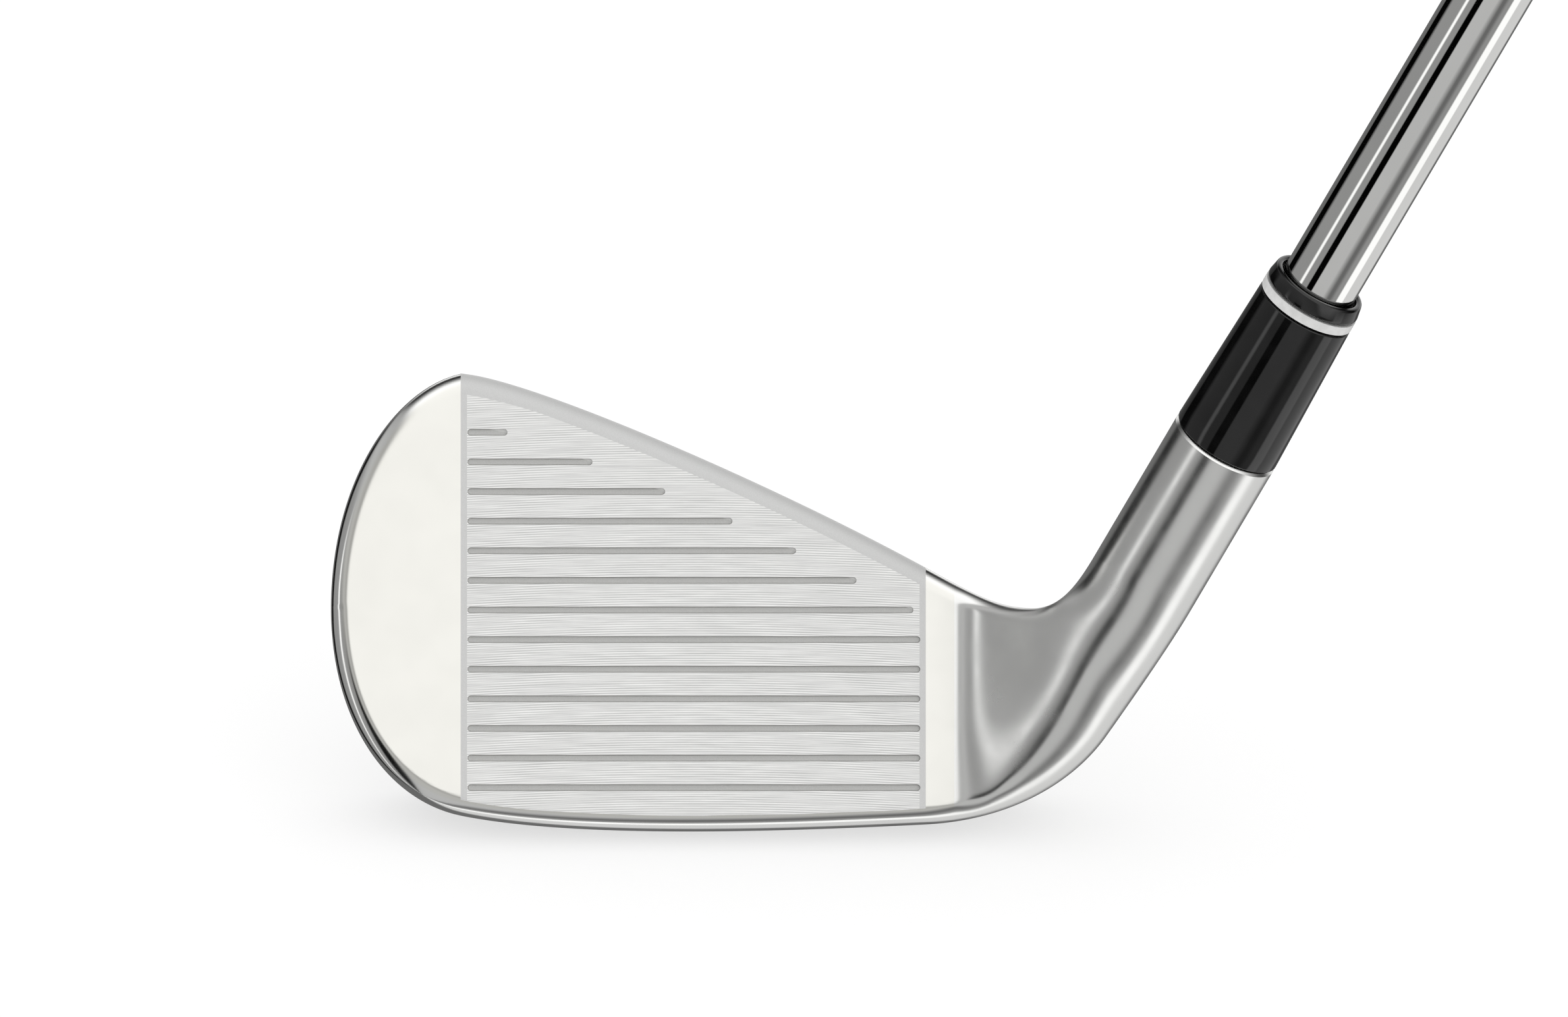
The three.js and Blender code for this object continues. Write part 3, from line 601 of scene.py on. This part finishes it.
    m.set("Metallic", m.mix(area, 1.0, m.range(grain, 0.3, 0.7, 0.25, 0.33)))
    cloudy = m.range(m.noise(240.0, 4.0), 0.3, 0.7, 0.9, 1.1)
    polished = m.math("MULTIPLY", cloudy, m.range(x, 26.0, 36.0, 0.13, 0.25))
    rough = m.mix(area, polished, m.range(grain, 0.3, 0.7, 0.52, 0.6))
    rough = m.mix(milled, rough, m.range(lines, -0.5, 0.5, 0.5, 0.42))
    rough = m.mix(in_groove, rough, 0.6)
    m.set("Roughness", rough)

    fine = m.math("MULTIPLY", m.math("SUBTRACT", grain, 0.5), m.mix(area, 0.02, 0.5))
    height = m.math("ADD", fine, m.math("MULTIPLY", m.math("MULTIPLY", lines, milled), 0.6))
    m.set("Normal", m.bump(height, 0.000012, 0.8))
    return m.material


def mirror_chrome():
    m = Nodes("shaft_chrome", linear(240, 240, 238), 1.0, 0.03)
    along = m.noise(1.0, 3.0, m.stretched((900, 900, 30)))
    m.set("Roughness", m.range(along, 0.3, 0.75, 0.02, 0.055))
    m.set("Base Color", m.mix(m.range(m.noise(40.0), 0.3, 0.7), linear(241, 241, 239), linear(235, 235, 233)))
    m.set("Normal", m.bump(m.noise(600.0, 2.0), 0.0000015))
    return m.material


def gloss_black():
    m = Nodes("ferrule_black", linear(10, 10, 10), 0.0, 0.12)
    m.set("Base Color", m.mix(m.range(m.noise(300.0, 2.0), 0.3, 0.7), linear(8, 8, 8), linear(14, 14, 14)))
    m.set("Roughness", m.range(m.noise(700.0, 4.0), 0.3, 0.75, 0.04, 0.09))
    m.set("Normal", m.bump(m.noise(1500.0, 2.0), 0.000002))
    m.shader.inputs["Specular IOR Level"].default_value = 0.6
    return m.material


def ring_grey():
    m = Nodes("ring_satin", linear(207, 207, 206), 0.0, 0.35)
    cloud = m.range(m.noise(900.0, 3.0), 0.3, 0.7)
    m.set("Base Color", m.mix(cloud, linear(203, 203, 202), linear(214, 214, 213)))
    m.set("Roughness", m.range(m.noise(1800.0, 3.0), 0.3, 0.7, 0.28, 0.4))
    m.set("Normal", m.bump(m.noise(2500.0, 2.0), 0.000004))
    return m.material


def badge_metal():
    m = Nodes("badge_brushed", linear(120, 122, 125), 1.0, 0.35)
    streak = m.noise(1.0, 4.0, m.stretched((60, 5200, 5200)), 0.6)
    m.set("Base Color", m.mix(m.range(streak, 0.25, 0.75), linear(96, 98, 101), linear(132, 134, 137)))
    m.set("Roughness", m.range(streak, 0.2, 0.8, 0.28, 0.46))
    m.set("Normal", m.bump(streak, 0.00002, 0.6))
    return m.material


def rubber():
    """Grip rubber with a moulded field of fine diamonds and plain bands between; the sunk grooves round the
    diamonds are also painted darker, as painted shade.
    """
    m = Nodes("grip_rubber", linear(26, 26, 27), 0.0, 0.8)
    relative = m.new("ShaderNodeVectorMath", operation="SUBTRACT")
    m.put(relative.inputs[0], m.place)
    relative.inputs[1].default_value = tuple(HOSEL_END_POINT * MM)
    along = m.math("MULTIPLY", m.dot(relative.outputs[0], AXIS), MM_PER_METRE)
    side_x = m.dot(relative.outputs[0], (math.sin(LIE), 0, -math.cos(LIE)))
    side_y = m.dot(relative.outputs[0], (0, 1, 0))
    turn = m.math("ARCTAN2", side_y, side_x)
    twist = m.math("MULTIPLY", along, 2 * math.pi / 5.2)
    left = m.math("SINE", m.math("ADD", m.math("MULTIPLY", turn, 14.0), twist))
    right = m.math("SINE", m.math("SUBTRACT", m.math("MULTIPLY", turn, 14.0), twist))
    field = m.math("MAXIMUM", left, right)
    knurl = m.range(field, 0.72, 0.95)
    phase = m.math("FRACT", m.math("DIVIDE", m.math("SUBTRACT", along, GRIP_START + 14), 41.0))
    plain = m.math("LESS_THAN", phase, 0.13)
    past_mouth = m.math("GREATER_THAN", along, GRIP_START + 14)
    inside = m.math("MULTIPLY", past_mouth, m.math("LESS_THAN", along, CLUB_END - 18))
    knurl_and_painted_shade = m.math("MULTIPLY", m.math("MULTIPLY", knurl, m.math("SUBTRACT", 1.0, plain)), inside)
    grain = m.noise(3500.0, 3.0)
    # The sunk knurl grooves are painted darker than the rest of the rubber: painted shade in the recesses.
    m.set("Base Color", m.mix(knurl_and_painted_shade, linear(30, 30, 31), linear(16, 16, 17)))
    m.set("Roughness", m.range(grain, 0.3, 0.7, 0.68, 0.85))
    height = m.math("ADD", m.math("MULTIPLY", knurl_and_painted_shade, -1.0), m.math("MULTIPLY", grain, 0.12))
    m.set("Normal", m.bump(height, 0.0004, 0.9))
    return m.material


def band_film():
    m = Nodes("band_film", linear(58, 63, 69), 0.0, 0.35)
    relative = m.new("ShaderNodeVectorMath", operation="SUBTRACT")
    m.put(relative.inputs[0], m.place)
    relative.inputs[1].default_value = tuple(HOSEL_END_POINT * MM)
    height = m.math("MULTIPLY", m.dot(relative.outputs[0], AXIS), MM_PER_METRE)
    along = m.math("SUBTRACT", height, GRIP_START - BAND_BELOW_GRIP - BAND_LENGTH)
    edge = m.math("ABSOLUTE", m.math("SUBTRACT", along, BAND_LENGTH / 2))
    past_inner = m.math("GREATER_THAN", edge, BAND_LENGTH / 2 - 4)
    stripe = m.math("MULTIPLY", past_inner, m.math("LESS_THAN", edge, BAND_LENGTH / 2 - 2.4))
    base = m.mix(m.range(m.noise(500.0), 0.3, 0.7), linear(54, 59, 65), linear(62, 67, 73))
    m.set("Base Color", m.mix(stripe, base, linear(190, 192, 194)))
    m.set("Roughness", m.range(m.noise(1500.0, 3.0), 0.3, 0.7, 0.3, 0.42))
    m.set("Normal", m.bump(m.noise(900.0, 2.0), 0.00001))
    return m.material


def inner_finish(name, first, second, metallic, rough_low, rough_high, scale, depth):
    m = Nodes(name, first, metallic, rough_low)
    texture = m.noise(scale, 4.0)
    m.set("Base Color", m.mix(m.range(texture, 0.3, 0.7), first, second))
    m.set("Roughness", m.range(texture, 0.25, 0.75, rough_low, rough_high))
    m.set("Normal", m.bump(texture, depth))
    return m.material


# ---- Head ----
FRONT_STEPS, CORNER_STEPS = 90, 7
GROOVE_COUNT, GROOVE_FIRST, GROOVE_PITCH = 13, 5.18, 3.574
GROOVE_LEFT, GROOVE_FLOOR_LEFT, GROOVE_RIGHT = -27.25, -27.15, 27.4
GROOVE_HALF_WIDTH, GROOVE_FLOOR_HALF_WIDTH = 0.41, 0.3
GROOVE_END_TAPER, GROOVE_BELOW_TOPLINE = 0.1, 5.9
CHANNEL_LEFT, CHANNEL_RIGHT, CHANNEL_UP, CHANNEL_HALF_WIDTH, CHANNEL_FLOOR = -24, 16, 12.6, 1.3, -11.4
rings = [from_face(ring) for ring in head_rings(FRONT_STEPS, CORNER_STEPS)]
head = make_object("head", *skin(rings))


def cavity_outline(inset, steps=12):
    left, right, low = -37.5 + inset, 25 - inset, 21.2 + inset

    def quad(a, b, c):
        s = np.linspace(0, 1, steps + 1)[1:, None]
        return list((1 - s) ** 2 * np.array(a) + 2 * s * (1 - s) * np.array(b) + s**2 * np.array(c))

    points = [np.array([-30.0, low]), np.array([right - 2.0, low])]
    points += quad((right - 2, low), (right, low), (right, low + 2))
    points.append(np.array([right, 26.0]))
    points += quad((right, 26), (right, 28.2 - inset), (right - 2, 29.2 - inset))
    points.append(np.array([-22, 48.6 - inset * 1.1]))
    toe = [points[-1], (-29, 51 - inset), (left + 1, 43 - inset), (left, 33)]
    points += list(bezier(toe, np.linspace(0, 1, 2 * steps + 1)[1:]))
    points += quad((left, 33), (left, low), (-30, low))[:-1]
    return np.array(points)


def groove_ends():
    dense = bezier(UPPER_EDGE[1], np.linspace(0, 1, 800))
    for i in range(GROOVE_COUNT):
        up = GROOVE_FIRST + GROOVE_PITCH * i
        near_topline = np.interp(-(up + GROOVE_BELOW_TOPLINE), -dense[:, 1], dense[:, 0])
        yield up, min(near_topline, GROOVE_RIGHT)


behind = -SOLE_DEPTH - 3
cuts = [prism([cavity_outline(0)] * 2, (behind, -FACE_THICKNESS))]
channel = capsule(CHANNEL_LEFT, CHANNEL_RIGHT, CHANNEL_UP, CHANNEL_HALF_WIDTH)
cuts.append(prism([channel] * 2, (behind, CHANNEL_FLOOR)))
for up, right in groove_ends():
    mouth = capsule(GROOVE_LEFT, right, up, GROOVE_HALF_WIDTH)
    groove_floor = capsule(GROOVE_FLOOR_LEFT, right - GROOVE_END_TAPER, up, GROOVE_FLOOR_HALF_WIDTH)
    cuts.append(prism([mouth, mouth, groove_floor], (1, -0.02, -0.4)))
# What lies below the ground is cut off, which leaves the small flat on the sole.
box = np.array([(x, y, z) for z in (-10, 0) for x, y in ((-60, -30), (60, -30), (60, 30), (-60, 30))], float)
cuts.append(skin([box[:4], box[4:]]))
bore = turned_rings([(BORE_RADIUS, -BORE_DEPTH), (BORE_RADIUS, 2)], 64)
cuts.append(skin(bore))
cutter = make_object("cutter", *merge(cuts))
for obj in (head, cutter):
    face_outward(obj)
cut(head, cutter)
finish_piece(head, "head_body", head_material(), 30)

# ---- Badge in the cavity ----
tape_low = -FACE_THICKNESS - GAP - 0.3
badge_low = tape_low - GAP - 1
outline = cavity_outline(0.5)
raised = cavity_outline(2.2)
levels = [
    (outline, badge_low + 1),
    (outline, badge_low + 0.12),
    (cavity_outline(0.62), badge_low),
    (raised, badge_low),
    (cavity_outline(2.45), badge_low + 0.3),
    (cavity_outline(3.1), badge_low + 0.3),
    (cavity_outline(3.3), badge_low + 0.1),
]
badge = make_object("badge", *prism([line for line, _ in levels], [high for _, high in levels]))
finish_piece(badge, "badge_plate", badge_metal(), 25)

# ---- Ferrule ----
sleeve_inner = SHAFT_TIP_RADIUS + GAP
ring_low = FERRULE_BODY_TOP + GAP
cap_low = ring_low + RING_WIDTH + GAP
black = gloss_black()
body_sides = [
    (sleeve_inner, GAP),
    (HOSEL_RADIUS, GAP),
    (FERRULE_TOP_RADIUS, FERRULE_BODY_TOP),
    (sleeve_inner, FERRULE_BODY_TOP),
]
finish_piece(sleeve("ferrule_lower", eased(body_sides, 0.15)), "ferrule_body", black)
ring_sides = [
    (sleeve_inner, ring_low),
    (FERRULE_TOP_RADIUS, ring_low),
    (FERRULE_TOP_RADIUS, ring_low + RING_WIDTH),
    (sleeve_inner, ring_low + RING_WIDTH),
]
finish_piece(sleeve("ferrule_trim", eased(ring_sides, 0.08)), "ferrule_ring", ring_grey())
cap_sides = [
    (sleeve_inner, cap_low),
    (FERRULE_TOP_RADIUS, cap_low),
    (FERRULE_TOP_RADIUS - 0.35, FERRULE_LENGTH),
    (sleeve_inner, FERRULE_LENGTH),
]
finish_piece(sleeve("ferrule_top", eased(cap_sides, 0.3, 4)), "ferrule_cap", black)

# ---- Shaft ----
SHAFT_START = -BORE_DEPTH + TIP_WEIGHT_HEAD
steps = [lerp(SHAFT_TIP_RADIUS, SHAFT_BUTT_RADIUS, k / SHAFT_STEPS) for k in range(SHAFT_STEPS + 1)]
outside = [(SHAFT_TIP_RADIUS, SHAFT_START), (SHAFT_TIP_RADIUS, 0), (SHAFT_TIP_RADIUS, 60)]
for k in range(SHAFT_STEPS):
    high = SHAFT_FIRST_STEP + k * SHAFT_STEP_PITCH
    rise = steps[k + 1] - steps[k]
    for share, lift in ((-0.6, 0), (0, 0), (0.25, 0.12), (0.5, 0.5), (0.75, 0.88), (1, 1), (1.6, 1)):
        outside.append((steps[k] + rise * lift, high + STEP_LENGTH * share))
outside.append((SHAFT_BUTT_RADIUS, SHAFT_END))
inside = [
    (SHAFT_BUTT_RADIUS - SHAFT_WALL, SHAFT_END),
    (SHAFT_BUTT_RADIUS - SHAFT_WALL, SHAFT_FIRST_STEP + SHAFT_STEPS * SHAFT_STEP_PITCH),
    (SHAFT_TIP_RADIUS - SHAFT_WALL, SHAFT_FIRST_STEP),
    (SHAFT_TIP_RADIUS - SHAFT_WALL, SHAFT_START),
]
finish_piece(sleeve("shaft_tube", outside + inside, 128), "shaft", mirror_chrome())

band_low = GRIP_START - BAND_BELOW_GRIP - BAND_LENGTH
band_inner = SHAFT_BUTT_RADIUS + GAP
band_sides = [
    (band_inner, band_low),
    (band_inner + 0.2, band_low),
    (band_inner + 0.2, band_low + BAND_LENGTH),
    (band_inner, band_low + BAND_LENGTH),
]
finish_piece(sleeve("band", eased(band_sides, 0.05)), "shaft_band", band_film())

# ---- Grip ----
grip_rubber = rubber()


def grip_radius(height):
    share = (height - GRIP_START) / GRIP_LENGTH
    knots = ((0, 0), (0.45, 0.32), (0.8, 0.72), (0.94, 0.92), (1, 1))
    return lerp(GRIP_MOUTH_RADIUS, GRIP_BUTT_RADIUS, np.interp(share, *zip(*knots)))


outside = [
    (GRIP_MOUTH_RADIUS - 0.5, GRIP_START),
    (GRIP_MOUTH_RADIUS - 0.15, GRIP_START + 0.25),
    (GRIP_MOUTH_RADIUS, GRIP_START + 1),
]
for height in np.arange(GRIP_START + 2, SHAFT_END - 0.4, 0.75):
    radius = grip_radius(height)
    from_mouth, from_end = height - GRIP_START, SHAFT_END - height
    for ring_at in (4, 7, 10):
        radius -= 0.35 * math.exp(-((from_mouth - ring_at) ** 2) / 0.5)
    for ring_at in (4, 8):
        radius -= 0.3 * math.exp(-((from_end - ring_at) ** 2) / 0.5)
    outside.append((radius, height))
outside.append((GRIP_BUTT_RADIUS, SHAFT_END))
inside = [(GRIP_INNER_RADIUS, SHAFT_END), (GRIP_INNER_RADIUS, GRIP_START)]
finish_piece(sleeve("grip", outside + inside, 128), "grip_sleeve", grip_rubber)

low = CLUB_END - CAP_THICKNESS
cap_sides = [
    (VENT_RADIUS, low),
    (GRIP_BUTT_RADIUS, low),
    (GRIP_BUTT_RADIUS, CLUB_END - CAP_CHAMFER),
    (GRIP_BUTT_RADIUS - 0.3 * CAP_CHAMFER, CLUB_END - 0.3 * CAP_CHAMFER),
    (GRIP_BUTT_RADIUS - CAP_CHAMFER, CLUB_END),
    (9.6, CLUB_END),
    (9.4, CLUB_END - 0.35),
    (8.6, CLUB_END - 0.35),
    (8.4, CLUB_END),
    (VENT_RADIUS + 0.4, CLUB_END),
    (VENT_RADIUS, CLUB_END - 0.4),
]
finish_piece(sleeve("grip_end", eased(cap_sides, 0.25), 128), "grip_cap", grip_rubber)

# ---- Inner pieces keep their CAD shape ----
epoxy = inner_finish("epoxy", linear(205, 190, 140), linear(190, 170, 118), 0.0, 0.35, 0.55, 600.0, 0.00005)
brass = inner_finish("brass", linear(214, 186, 124), linear(196, 166, 104), 1.0, 0.25, 0.4, 900.0, 0.00002)
foam = inner_finish("foam_tape", linear(38, 38, 38), linear(52, 52, 52), 0.0, 0.8, 0.95, 2400.0, 0.0001)
paper_light, paper_dark = linear(228, 222, 196), linear(212, 204, 176)
paper = inner_finish("paper_tape", paper_light, paper_dark, 0.0, 0.75, 0.9, 1200.0, 0.0001)
inner = {"hosel_epoxy": epoxy, "tip_weight": brass, "badge_tape": foam, "grip_tape": paper}
for node, material in inner.items():
    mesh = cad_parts[node].data
    mesh.materials.clear()
    mesh.materials.append(material)

# ---- Floor ----
FLOOR_HALF = 40.0
floor_mesh = bpy.data.meshes.new("floor")
floor_corners = [(FLOOR_HALF * x, FLOOR_HALF * y, 0) for x, y in ((-1, -1), (1, -1), (1, 1), (-1, 1))]
floor_mesh.from_pydata(floor_corners, [], [(0, 1, 2, 3)])
floor = bpy.data.objects.new("floor", floor_mesh)
bpy.context.scene.collection.objects.link(floor)
paint = Nodes("floor_paint", (0.46, 0.46, 0.46), 0.0, 0.9)
paint.set("Roughness", paint.range(paint.noise(30.0), 0.3, 0.7, 0.85, 0.95))
paint.shader.inputs["Specular IOR Level"].default_value = 0.0
paint.shader.inputs["Emission Color"].default_value = (1, 1, 1, 1)
paint.shader.inputs["Emission Strength"].default_value = 0.56
floor_mesh.materials.append(paint.material)
floor.visible_glossy = False

# ---- Light: flags and panels round the shaft, a wall aside, and a broad soft dome in front and above ----
ACROSS_FRONT = OUT_OF_FACE - (OUT_OF_FACE @ AXIS) * AXIS
ACROSS_FRONT /= np.linalg.norm(ACROSS_FRONT)
ACROSS_RIGHT = np.cross(AXIS, OUT_OF_FACE)
ACROSS_RIGHT /= np.linalg.norm(ACROSS_RIGHT)
WHITE, LIGHT, SOFT_LIGHT, MID, DARK, BLACK = 1.0, 0.8, 0.7, 0.55, 0.4, 0.01
# What stands round the shaft: the angle where it starts, how softly it starts, both in degrees, and its tone.
# Angle 0 is at the camera, and positive is to its right.
ROUND_SHAFT = [
    (-180, 0, DARK),  # the room behind
    (-130, 2, BLACK),  # tall flag on the left
    (-100, 5, MID),  # left wall
    (-55, 2, WHITE),  # strip light
    (-47, 2, MID),  # left wall again
    (-28, 1, BLACK),  # narrow flag by the camera
    (-10, 1, SOFT_LIGHT),  # panel behind the camera
    (35, 8, DARK),  # grey card
    (55, 5, MID),  # right wall
    (72, 2, WHITE),  # softbox
    (95, 2, LIGHT),  # reflector on the right
    (145, 5, DARK),  # the room behind
]
# The left wall, from straight in front to far aside.
SIDE_WALL = [(0.0, MID), (0.45, SOFT_LIGHT), (1.0, DARK)]
# The dome: places across it from 0 to 1, and its level there, out of 255.
DOME = [
    (0.0, 255), (0.10, 250), (0.26, 20), (0.40, 60), (0.55, 150),
    (0.66, 225), (0.76, 262), (0.86, 256), (0.94, 250), (1.0, 249),
]
REFLECTANCE = 0.87

world = bpy.data.worlds.new("studio")
bpy.context.scene.world = world
world.use_nodes = True
tree = world.node_tree
tree.nodes.clear()


def world_node(kind, **settings):
    node = tree.nodes.new(kind)
    for key, value in settings.items():
        setattr(node, key, value)
    return node


def world_math(operation, a, b=0.0):
    node = world_node("ShaderNodeMath", operation=operation)
    for socket, value in zip(node.inputs, (a, b)):
        if isinstance(value, bpy.types.NodeSocket):
            tree.links.new(value, socket)
        else:
            socket.default_value = value
    return node.outputs[0]


def world_dot(direction):
    node = world_node("ShaderNodeVectorMath", operation="DOT_PRODUCT")
    tree.links.new(look, node.inputs[0])
    node.inputs[1].default_value = tuple(direction)
    return node.outputs["Value"]


def world_ramp(value, stops):
    node = world_node("ShaderNodeValToRGB")
    tree.links.new(value, node.inputs[0])
    bar = node.color_ramp
    while len(bar.elements) < len(stops):
        bar.elements.new(0.5)
    for element, (place, level) in zip(bar.elements, stops):
        element.position = place
        grey = linear(level)[0] / REFLECTANCE
        element.color = (grey, grey, grey, 1)
    return node.outputs[0]


def band_stops(bands):
    """Ramp stops over a full turn: each band's tone, with a soft change where it meets the one before."""
    stops = [(0.0, 255 * bands[0][2])]
    for (_, _, before), (start, softness, tone) in zip(bands, bands[1:]):
        stops.append(((start - softness) / 360 + 0.5, 255 * before))
        stops.append(((start + softness) / 360 + 0.5, 255 * tone))
    return stops


look = world_node("ShaderNodeTexCoord").outputs["Generated"]
turn = world_math("ARCTAN2", world_dot(ACROSS_RIGHT), world_dot(ACROSS_FRONT))
turn = world_math("ADD", world_math("DIVIDE", turn, 2 * math.pi), 0.5)
strips = world_ramp(turn, band_stops(ROUND_SHAFT))
toward = world_math("MULTIPLY_ADD", world_dot(OUT_OF_FACE), 0.5)
toward.node.inputs[2].default_value = 0.5
aside = world_dot(np.array([-1.0, 0, 0]) - 0.8 * UP_FACE)
side_grey = world_ramp(aside, [(place, 255 * tone) for place, tone in SIDE_WALL])
aside_share = world_node("ShaderNodeMapRange", interpolation_type="SMOOTHSTEP")
tree.links.new(aside, aside_share.inputs[0])
aside_share.inputs[1].default_value, aside_share.inputs[2].default_value = 0.02, 0.2
dome_mix = world_node("ShaderNodeMix", data_type="RGBA")
tree.links.new(aside_share.outputs[0], dome_mix.inputs[0])
tree.links.new(world_ramp(toward, DOME), dome_mix.inputs[6])
tree.links.new(side_grey, dome_mix.inputs[7])
dome = dome_mix.outputs[2]
share = world_node("ShaderNodeMapRange", interpolation_type="SMOOTHSTEP")
tree.links.new(world_dot(AXIS), share.inputs[0])
share.inputs[1].default_value, share.inputs[2].default_value = -0.16, 0.08
both = world_node("ShaderNodeMix", data_type="RGBA")
tree.links.new(share.outputs[0], both.inputs[0])
tree.links.new(strips, both.inputs[6])
tree.links.new(dome, both.inputs[7])
path = world_node("ShaderNodeLightPath")
plain_white = world_node("ShaderNodeMix", data_type="RGBA")
tree.links.new(path.outputs["Is Glossy Ray"], plain_white.inputs[0])
plain_white.inputs[6].default_value = (1.04, 1.04, 1.04, 1)
tree.links.new(both.outputs[2], plain_white.inputs[7])
background = world_node("ShaderNodeBackground")
tree.links.new(plain_white.outputs[2], background.inputs["Color"])
output = world_node("ShaderNodeOutputWorld")
tree.links.new(background.outputs[0], output.inputs["Surface"])

# ---- Camera, square to the face ----
VIEW_CENTRE = from_face([10.95, 38.87, 0]) * MM
FRAME_WIDTH = 0.1892
LENS = 1000.0
camera_data = bpy.data.cameras.new("camera")
camera_data.sensor_width = 36.0
camera_data.lens = LENS
camera = bpy.data.objects.new("camera", camera_data)
bpy.context.scene.collection.objects.link(camera)
distance = FRAME_WIDTH * LENS / camera_data.sensor_width
camera.location = Vector(VIEW_CENTRE + OUT_OF_FACE * distance)
camera.rotation_euler = Vector(-OUT_OF_FACE).to_track_quat("-Z", "Y").to_euler()
camera_data.clip_start, camera_data.clip_end = 0.1, 200.0
bpy.context.scene.camera = camera
bpy.context.scene.view_settings.view_transform = "Standard"
